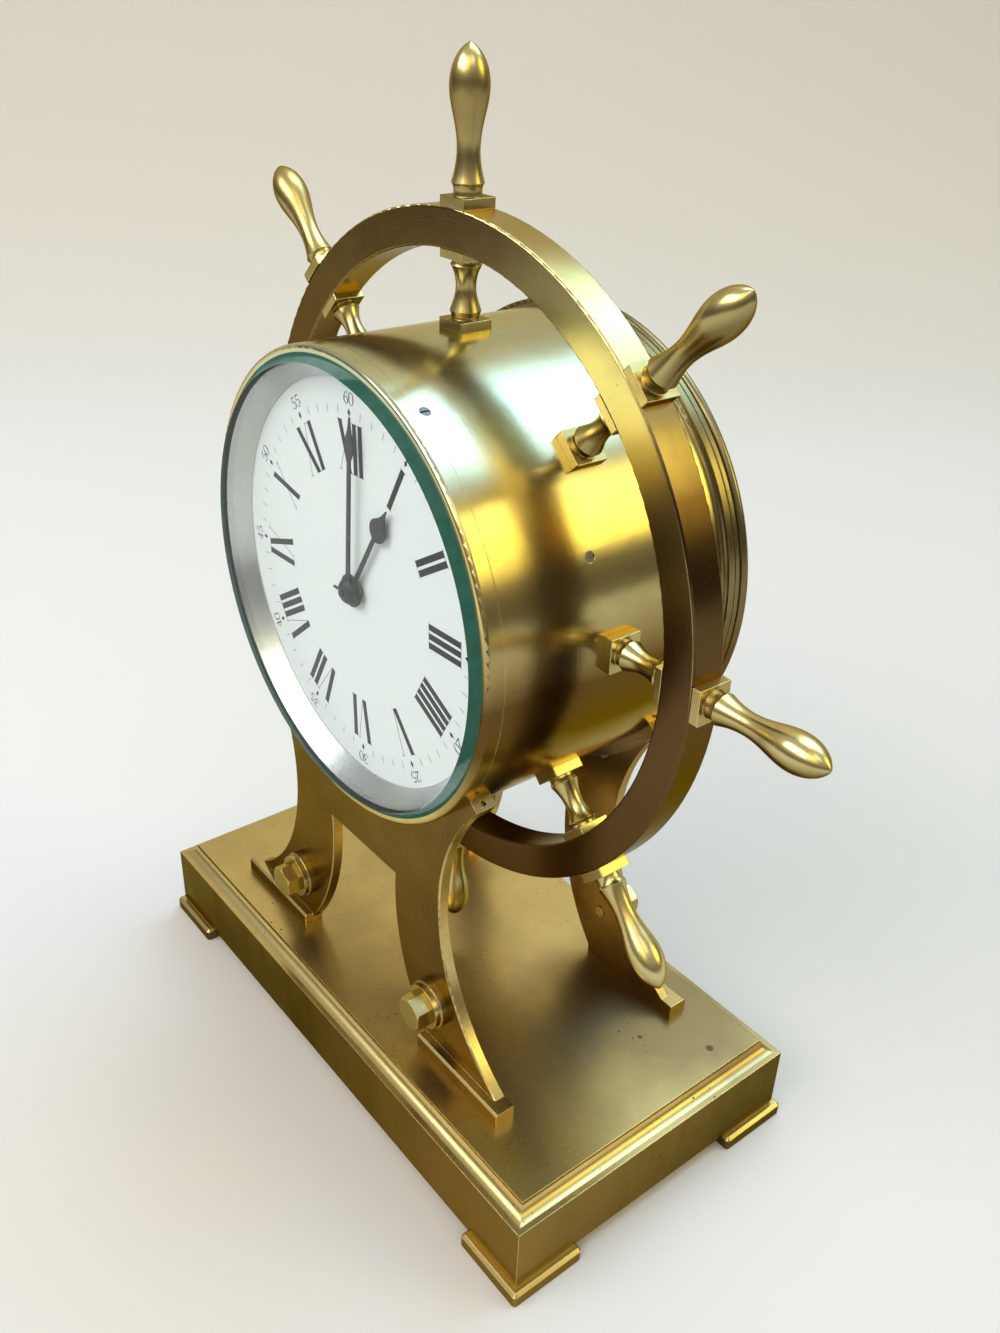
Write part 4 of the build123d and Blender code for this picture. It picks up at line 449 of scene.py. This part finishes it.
# the glass lets the lamps' light through to the dial
def glassMaterial(look):
    material, tree, shader, place = newMaterial("bevelledGlass")
    reach = turnedPlace(tree, place)[1]
    wire(tree, shader, {
        "Base Color": look["tint"], "Roughness": 0.0, "Transmission Weight": 1.0, "IOR": look["bend"],
        "Specular IOR Level": look["shine"],
    })
    edge = rangeOf(tree, reach, 0.0, 1.0, look["edge"] - look["soft"], look["edge"])
    bevel = rangeOf(tree, reach, 0.0, look["bevelGreen"], look["flat"] - look["soft"], look["flat"])
    cloud = noiseAt(tree, place, look["groundScale"], detail=3.0)
    frosted = addNode(tree, "ShaderNodeBsdfDiffuse")
    wire(tree, frosted, {"Color": rampOf(tree, cloud, look["groundPlaces"], (look["groundDark"], look["ground"]))})
    groundMix = addNode(tree, "ShaderNodeMixShader")
    wire(tree, groundMix, {
        "Fac": maskOf(tree, edge, bevel, "MAXIMUM"), 1: shader.outputs["BSDF"], 2: frosted.outputs["BSDF"],
    })
    clear = addNode(tree, "ShaderNodeBsdfTransparent")
    wire(tree, clear, {"Color": look["shadowTint"]})
    shadow = addNode(tree, "ShaderNodeLightPath").outputs["Is Shadow Ray"]
    shadowMix = addNode(tree, "ShaderNodeMixShader")
    wire(tree, shadowMix, {"Fac": shadow, 1: groundMix.outputs["Shader"], 2: clear.outputs["BSDF"]})
    wire(tree, tree.nodes["Material Output"], {"Surface": shadowMix.outputs["Shader"]})
    return material


bevelledGlass = glassMaterial(glassLook)

# which finish each carried-over node gets; all others are polished brass
finishes = [
    (drumBrass, ["drum_case", "front_bezel"]),
    (agedBrass, ["rear_bezel", "rear_door"]),
    (satinBrass, ["base_plinth", "base_bottom_plate", "corner_feet"]),
    (rimBrass, ["wheel_rim"]),
    (frameBrass, ["front_frame"]),
    (litRearFrameBrass, ["rear_frame"]),
    (movementBrass, [
        "front_plate", "back_plate", "plate_pillars", "movement_ring", "barrel", "third_wheel",
        "fourth_wheel", "escape_wheel", "balance_wheel", "balance_cock", "minute_wheel", "hour_wheel",
    ]),
    (centreBrass, ["centre_wheel"]),
    (turnedSteel, [
        "base_screws", "frame_screws", "saddle_screws", "case_screws", "barrel_arbor", "ratchet_wheel", "click",
        "pallet_lever", "cannon_pinion", "door_hinge_pin",
    ]),
    (springSteel, ["mainspring", "hairspring"]),
    (bluedSteel, ["hour_hand", "minute_hand", "hand_nut"]),
    (whiteEnamel, ["dial"]),
    (silveredRing, ["dial_surround"]),
    (bevelledGlass, ["bezel_glass"]),
]
finishOf = {name: material for material, names in finishes for name in names}
for name, node in nodes.items():
    node.data.materials.clear()
    node.data.materials.append(finishOf.get(name, polishedBrass))
print("finishes set")

# dial print, drawn flat in millimetres: across is clockwise, out is away from the centre
dialLook = {
    "turn": -1.75, "centre": (0.1, -0.7), "lift": 0.02, "thick": 0.03, "numeralInner": 33.0, "numeralOuter": 46.4,
    "bar": 1.75, "gap": 0.82, "serif": 0.13, "serifOverhang": 0.34, "hairline": 0.15, "vWidth": 6.0, "xWidth": 5.8,
    "vFoot": 0.12, "vThinSerif": 0.875, "xThinSerif": 0.7, "xThinOut": 0.4375,
    "markInner": 47.8, "markOuter": 50.0, "markWidth": 1.25, "tickInner": 47.9, "tickOuter": 50.1,
    "tickWidth": 0.13, "digitInner": 51.0, "digitHeight": 3.1, "digitWidth": 1.9, "digitGap": 0.45,
    "digitThin": 0.15, "digitThick": 0.40,
}
hourTurn = 30  # degrees from one hour to the next
minuteTurn = 6


class FlatPrint:
    # collects flat outlines on the dial and gives them a hair's thickness
    def __init__(self):
        self.mesh = bmesh.new()

    def outline(self, points, clock):
        angle = radians(clock + dialLook["turn"])
        back = dialFront - dialLook["lift"] * mm
        front = back - dialLook["thick"] * mm
        ring = []
        for across, out in points:
            x = across * cos(angle) + out * sin(angle) + dialLook["centre"][0]
            z = -across * sin(angle) + out * cos(angle) + dialLook["centre"][1]
            ring.append((x * mm, axisHeight + z * mm))
        fronts = [self.mesh.verts.new((x, front, z)) for x, z in ring]
        backs = [self.mesh.verts.new((x, back, z)) for x, z in ring]
        self.mesh.faces.new(fronts)
        self.mesh.faces.new(backs[::-1])
        for a in range(len(ring)):
            b = (a + 1) % len(ring)
            self.mesh.faces.new((fronts[b], fronts[a], backs[a], backs[b]))

    def stroke(self, start, end, width, clock):
        # a bar whose ends are cut square to the radius, as engraved numerals have
        half = width / 2
        left, right = [(x - half, y) for x, y in (start, end)], [(x + half, y) for x, y in (start, end)]
        self.outline([left[0], right[0], right[1], left[1]], clock)

    def serif(self, across, out, inward, width, clock):
        half = width / 2 + dialLook["serifOverhang"]
        step = dialLook["serif"] if inward else -dialLook["serif"]
        left, right = across - half, across + half
        self.outline([(left, out), (right, out), (right, out + step), (left, out + step)], clock)

    def finish(self, name):
        bmesh.ops.recalc_face_normals(self.mesh, faces=self.mesh.faces[:])
        data = bpy.data.meshes.new(name)
        self.mesh.to_mesh(data)
        self.mesh.free()
        piece = bpy.data.objects.new(name, data)
        bpy.context.collection.objects.link(piece)
        data.materials.append(dialPrint)
        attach(piece, "stand")


def romanNumeral(sheet, letters, clock):
    low, high = dialLook["numeralInner"], dialLook["numeralOuter"]
    bar, thin = dialLook["bar"], dialLook["hairline"]
    widths = {"I": bar, "V": dialLook["vWidth"], "X": dialLook["xWidth"]}
    total = sum(widths[letter] for letter in letters) + dialLook["gap"] * (len(letters) - 1)
    place = -total / 2
    for letter in letters:
        width = widths[letter]
        middle = place + width / 2
        left, right = middle - width / 2 + bar / 2, middle + width / 2 - bar / 2
        if letter == "I":
            sheet.stroke((middle, low), (middle, high), bar, clock)
            sheet.serif(middle, high, False, bar, clock)
            sheet.serif(middle, low, True, bar, clock)
        if letter == "V":
            foot = middle - dialLook["vFoot"]
            thinTop = middle + width / 2 - thin
            sheet.stroke((foot, low), (left, high), bar, clock)
            sheet.stroke((foot + bar / 2 - thin / 2, low), (thinTop, high), thin, clock)
            sheet.serif(left, high, False, bar, clock)
            sheet.serif(thinTop, high, False, dialLook["vThinSerif"], clock)
        if letter == "X":
            thinLow, thinHigh = left - dialLook["xThinOut"], right + dialLook["xThinOut"]
            sheet.stroke((right, low), (left, high), bar, clock)
            sheet.stroke((thinLow, low), (thinHigh, high), thin, clock)
            sheet.serif(left, high, False, bar, clock)
            sheet.serif(right, low, True, bar, clock)
            sheet.serif(thinHigh, high, False, dialLook["xThinSerif"], clock)
            sheet.serif(thinLow, low, True, dialLook["xThinSerif"], clock)
        place += width + dialLook["gap"]


numerals = FlatPrint()
hourNumerals = ["XII", "I", "II", "III", "IIII", "V", "VI", "VII", "VIII", "IX", "X", "XI"]
for hour, letters in enumerate(hourNumerals):
    romanNumeral(numerals, letters, hour * hourTurn)
numerals.finish("dialNumerals")

# a tick at each minute, and a lozenge at each fifth
track = FlatPrint()
for minute in range(60):
    clock = minute * minuteTurn
    if minute % 5:
        track.stroke((0, dialLook["tickInner"]), (0, dialLook["tickOuter"]), dialLook["tickWidth"], clock)
    else:
        inner, outer, half = dialLook["markInner"], dialLook["markOuter"], dialLook["markWidth"] / 2
        between = (inner + outer) / 2
        track.outline([(0, inner), (half, between), (0, outer), (-half, between)], clock)
track.finish("dialMinuteTrack")

# strokes of the small figures, in a box one wide and one high, with each point's share of the thick line
figures = {
    "0": [[(0.5, 1.0, 0), (0.82, 0.93, 0.4), (1.0, 0.5, 1), (0.82, 0.07, 0.4), (0.5, 0.0, 0), (0.18, 0.07, 0.4),
           (0.0, 0.5, 1), (0.18, 0.93, 0.4), (0.5, 1.0, 0)]],
    "1": [[(0.18, 0.82, 0), (0.5, 1.0, 0.5), (0.5, 0.5, 1), (0.5, 0.0, 1)], [(0.2, 0.02, 0), (0.8, 0.02, 0)]],
    "2": [[(0.08, 0.76, 1), (0.2, 0.95, 0.2), (0.5, 1.0, 0), (0.85, 0.9, 0.6), (0.92, 0.7, 1), (0.75, 0.45, 0.6),
           (0.3, 0.2, 0), (0.05, 0.03, 0)], [(0.05, 0.05, 0.6), (0.5, 0.08, 1), (0.95, 0.03, 0.4), (1.0, 0.22, 0)]],
    "3": [[(0.1, 0.85, 0.8), (0.3, 0.98, 0), (0.6, 0.99, 0.2), (0.85, 0.8, 1), (0.7, 0.58, 0.3), (0.4, 0.52, 0)],
          [(0.4, 0.52, 0), (0.8, 0.45, 0.4), (0.95, 0.25, 1), (0.75, 0.04, 0.3), (0.4, 0.0, 0), (0.08, 0.14, 0.8)]],
    "4": [[(0.72, 0.0, 1), (0.72, 0.5, 1), (0.72, 1.0, 0.8)], [(0.72, 1.0, 0), (0.35, 0.6, 0), (0.02, 0.28, 0)],
          [(0.02, 0.28, 0), (0.5, 0.28, 0), (1.0, 0.28, 0)], [(0.45, 0.02, 0), (0.98, 0.02, 0)]],
    "5": [[(0.18, 0.97, 0.5), (0.5, 0.95, 1), (0.88, 1.0, 0)], [(0.18, 0.97, 0), (0.14, 0.75, 0), (0.12, 0.52, 0)],
          [(0.12, 0.52, 0), (0.45, 0.62, 0), (0.85, 0.5, 0.6), (0.95, 0.28, 1), (0.75, 0.05, 0.4), (0.4, 0.0, 0),
           (0.08, 0.14, 0.8)]],
    "6": [[(0.9, 0.86, 0.6), (0.65, 1.0, 0), (0.3, 0.85, 0.4), (0.06, 0.5, 1), (0.1, 0.2, 0.8), (0.35, 0.01, 0),
           (0.7, 0.03, 0.2), (0.96, 0.28, 1), (0.8, 0.52, 0.3), (0.5, 0.6, 0), (0.15, 0.42, 0)]],
}


# points of a smooth line through a figure's strokes
def smoothed(points, steps=5):
    ends = [points[0], *points, points[-1]]
    line = []
    for a in range(1, len(ends) - 2):
        p0, p1, p2, p3 = ends[a - 1], ends[a], ends[a + 1], ends[a + 2]
        for step in range(steps):
            t = step / steps
            line.append(tuple(
                0.5 * (2 * p1[i] + (p2[i] - p0[i]) * t + (2 * p0[i] - 5 * p1[i] + 4 * p2[i] - p3[i]) * t ** 2
                       + (3 * p1[i] - p0[i] - 3 * p2[i] + p3[i]) * t ** 3) for i in range(3)
            ))
    line.append(points[-1])
    return line


def drawFigure(sheet, digit, left, clock):
    inner, wide, high = dialLook["digitInner"], dialLook["digitWidth"], dialLook["digitHeight"]
    thin, thick = dialLook["digitThin"], dialLook["digitThick"]
    for stroke in figures[digit]:
        placed = [(left + x * wide, inner + y * high, weight) for x, y, weight in smoothed(stroke)]
        edges = []
        for a, (x, y, weight) in enumerate(placed):
            before, after = placed[max(a - 1, 0)], placed[min(a + 1, len(placed) - 1)]
            along = Vector((after[0] - before[0], after[1] - before[1]))
            if along.length < 1e-6:
                along = Vector((1, 0))
            along.normalize()
            half = (thin + (thick - thin) * min(max(weight, 0.0), 1.0)) / 2
            edges.append(((x - along.y * half, y + along.x * half), (x + along.y * half, y - along.x * half)))
        for (a, b), (c, d) in zip(edges, edges[1:]):
            sheet.outline([a, c, d, b], clock)


digits = FlatPrint()
for mark in range(1, 13):
    text = str(mark * 5)
    pitch = dialLook["digitWidth"] + dialLook["digitGap"]
    total = len(text) * pitch - dialLook["digitGap"]
    for index, digit in enumerate(text):
        drawFigure(digits, digit, index * pitch - total / 2, mark * hourTurn)
digits.finish("dialMinuteFigures")
print("dial printed")

# a pale paper sweep: flat beneath the clock, then curved up behind it, as the camera sees it
sweep = {
    "front": -1.6, "flatBehind": 0.75, "bend": 0.45, "steps": 24, "top": 0.85, "side": 1.7, "turn": 50.42,
    "sink": 0.0002, "colour": (0.78, 0.75, 0.725), "rough": 0.9, "shine": 0.1, "fibreScale": 260.0,
    "fibreBump": 0.05, "fibreHeight": 0.0002,
}


def paperSweep():
    line = [(sweep["front"], 0.0), (0.0, 0.0), (sweep["flatBehind"], 0.0)]
    for step in range(1, sweep["steps"] + 1):
        angle = pi / 2 * step / sweep["steps"]
        line.append((sweep["flatBehind"] + sweep["bend"] * sin(angle), sweep["bend"] * (1 - cos(angle))))
    line.append((sweep["flatBehind"] + sweep["bend"], sweep["top"]))
    turn = radians(sweep["turn"])
    away = Vector((-sin(turn), cos(turn), 0))
    across = Vector((cos(turn), sin(turn), 0))
    points = []
    for reach, height in line:
        for side in (-sweep["side"], sweep["side"]):
            point = away * reach + across * side
            points.append((point.x, point.y, height - sweep["sink"]))
    faces = [(2 * a, 2 * a + 1, 2 * a + 3, 2 * a + 2) for a in range(len(line) - 1)]
    mesh = bpy.data.meshes.new("paperSweep")
    mesh.from_pydata(points, [], faces)
    for face in mesh.polygons:
        face.use_smooth = True
    piece = bpy.data.objects.new("paperSweep", mesh)
    bpy.context.collection.objects.link(piece)
    material, tree, shader, place = newMaterial("palePaper")
    fibre = noiseAt(tree, place, sweep["fibreScale"], detail=3.0)
    wire(tree, shader, {
        "Base Color": sweep["colour"], "Roughness": sweep["rough"], "Specular IOR Level": sweep["shine"],
        "Normal": bumpOf(tree, fibre, sweep["fibreBump"], sweep["fibreHeight"]),
    })
    mesh.materials.append(material)


paperSweep()

# soft lamps, each placed by the direction that its light comes from, at a reach from the middle of the clock
lamps = {
    "frontSheet": {
        "azimuth": -8, "elevation": 42, "reach": 1.6, "size": (1.5, 0.7), "glow": 3.8, "colour": (1.0, 0.99, 0.98),
    },
    "skylight": {
        "azimuth": -165, "elevation": 77, "reach": 1.6, "size": (0.7, 0.7), "glow": 2.4, "colour": (0.80, 0.98, 1.0),
    },
    "sideSheet": {
        "azimuth": 76, "elevation": 52, "reach": 1.6, "size": (0.6, 0.6), "glow": 1.2, "colour": (1.0, 0.96, 0.9),
    },
}
clockMiddle = Vector((0, 0, 0.16))


# azimuth 0 is straight ahead of the dial, and 90 is to the right of someone who reads it
def directionOf(azimuth, elevation):
    az, el = radians(azimuth), radians(elevation)
    return Vector((sin(az) * cos(el), -cos(az) * cos(el), sin(el)))


def placeLamp(name, look):
    lamp = bpy.data.lights.new(name, "AREA")
    lamp.shape = "RECTANGLE"
    lamp.size, lamp.size_y = look["size"]
    lamp.energy = look["glow"] * pi * look["size"][0] * look["size"][1]
    lamp.color = look["colour"]
    holder = bpy.data.objects.new(name, lamp)
    bpy.context.collection.objects.link(holder)
    away = directionOf(look["azimuth"], look["elevation"])
    holder.location = clockMiddle + away * look["reach"]
    holder.rotation_euler = away.to_track_quat("Z", "Y").to_euler()


for name, look in lamps.items():
    placeLamp(name, look)

# the room: dim near the horizon, a wall above it, and soft patches of light where windows and warm walls would be;
# the patches light the clock and show in its brass, and the camera doesn't see them
room = {
    "lowest": -0.2, "wallPlaces": (0.0, 0.22, 0.48, 1.0),
    "wallColours": ((0.09, 0.075, 0.06), (0.12, 0.10, 0.08), (0.36, 0.35, 0.33), (0.50, 0.52, 0.54)),
    "patches": [
        {"azimuth": -179, "elevation": 55, "inner": 8, "outer": 26, "colour": (1.6, 2.6, 3.6)},
        {"azimuth": 133, "elevation": 27, "inner": 7, "outer": 17, "colour": (3.2, 2.7, 0.65)},
        {"azimuth": 36, "elevation": 42, "inner": 6, "outer": 20, "colour": (1.7, 1.35, 0.45)},
        {"azimuth": -126, "elevation": 45, "inner": 8, "outer": 24, "colour": (0.26, 0.17, 0.0)},
    ],
}


def lightRoom():
    world = bpy.data.worlds.new("studioRoom")
    bpy.context.scene.world = world
    world.use_nodes = True
    tree = world.node_tree
    direction = addNode(tree, "ShaderNodeTexCoord").outputs["Generated"]
    height = rangeOf(tree, splitOf(tree, direction)["Z"], 0.0, 1.0, room["lowest"], 1.0)
    colour = rampOf(tree, height, room["wallPlaces"], room["wallColours"])
    unseen = rangeOf(tree, addNode(tree, "ShaderNodeLightPath").outputs["Is Camera Ray"], 1.0, 0.0)
    for patch in room["patches"]:
        toward = directionOf(patch["azimuth"], patch["elevation"])
        near = vectorMathOf(tree, "DOT_PRODUCT", direction, toward)
        soft = rangeOf(tree, near, 0.0, 1.0, cos(radians(patch["outer"])), cos(radians(patch["inner"])))
        colour = mixColour(tree, maskOf(tree, soft, unseen), colour, patch["colour"], "ADD")
    wire(tree, tree.nodes["Background"], {"Color": colour, "Strength": 1.0})


lightRoom()
print("sweep, lamps and room set")

# camera fitted to the photograph
cameraFit = {
    "place": (0.2506, -0.1912, 0.3150), "azimuth": 50.42, "elevation": 29.64, "roll": 2.21, "lens": 32.87,
    "sensor": 36.0, "near": 0.01,
}


def photoCamera():
    data = bpy.data.cameras.new("photoCamera")
    data.sensor_width = cameraFit["sensor"]
    data.lens = cameraFit["lens"]
    data.clip_start = cameraFit["near"]
    holder = bpy.data.objects.new("photoCamera", data)
    bpy.context.collection.objects.link(holder)
    back = directionOf(cameraFit["azimuth"], cameraFit["elevation"])
    az, roll = radians(cameraFit["azimuth"]), radians(cameraFit["roll"])
    level = Vector((cos(az), sin(az), 0))
    upright = back.cross(level)
    right = level * cos(roll) + upright * sin(roll)
    up = upright * cos(roll) - level * sin(roll)
    turned = Matrix((right, up, back)).transposed().to_4x4()
    holder.matrix_world = Matrix.Translation(cameraFit["place"]) @ turned
    bpy.context.scene.camera = holder


photoCamera()
bpy.context.scene.view_settings.view_transform = "Standard"
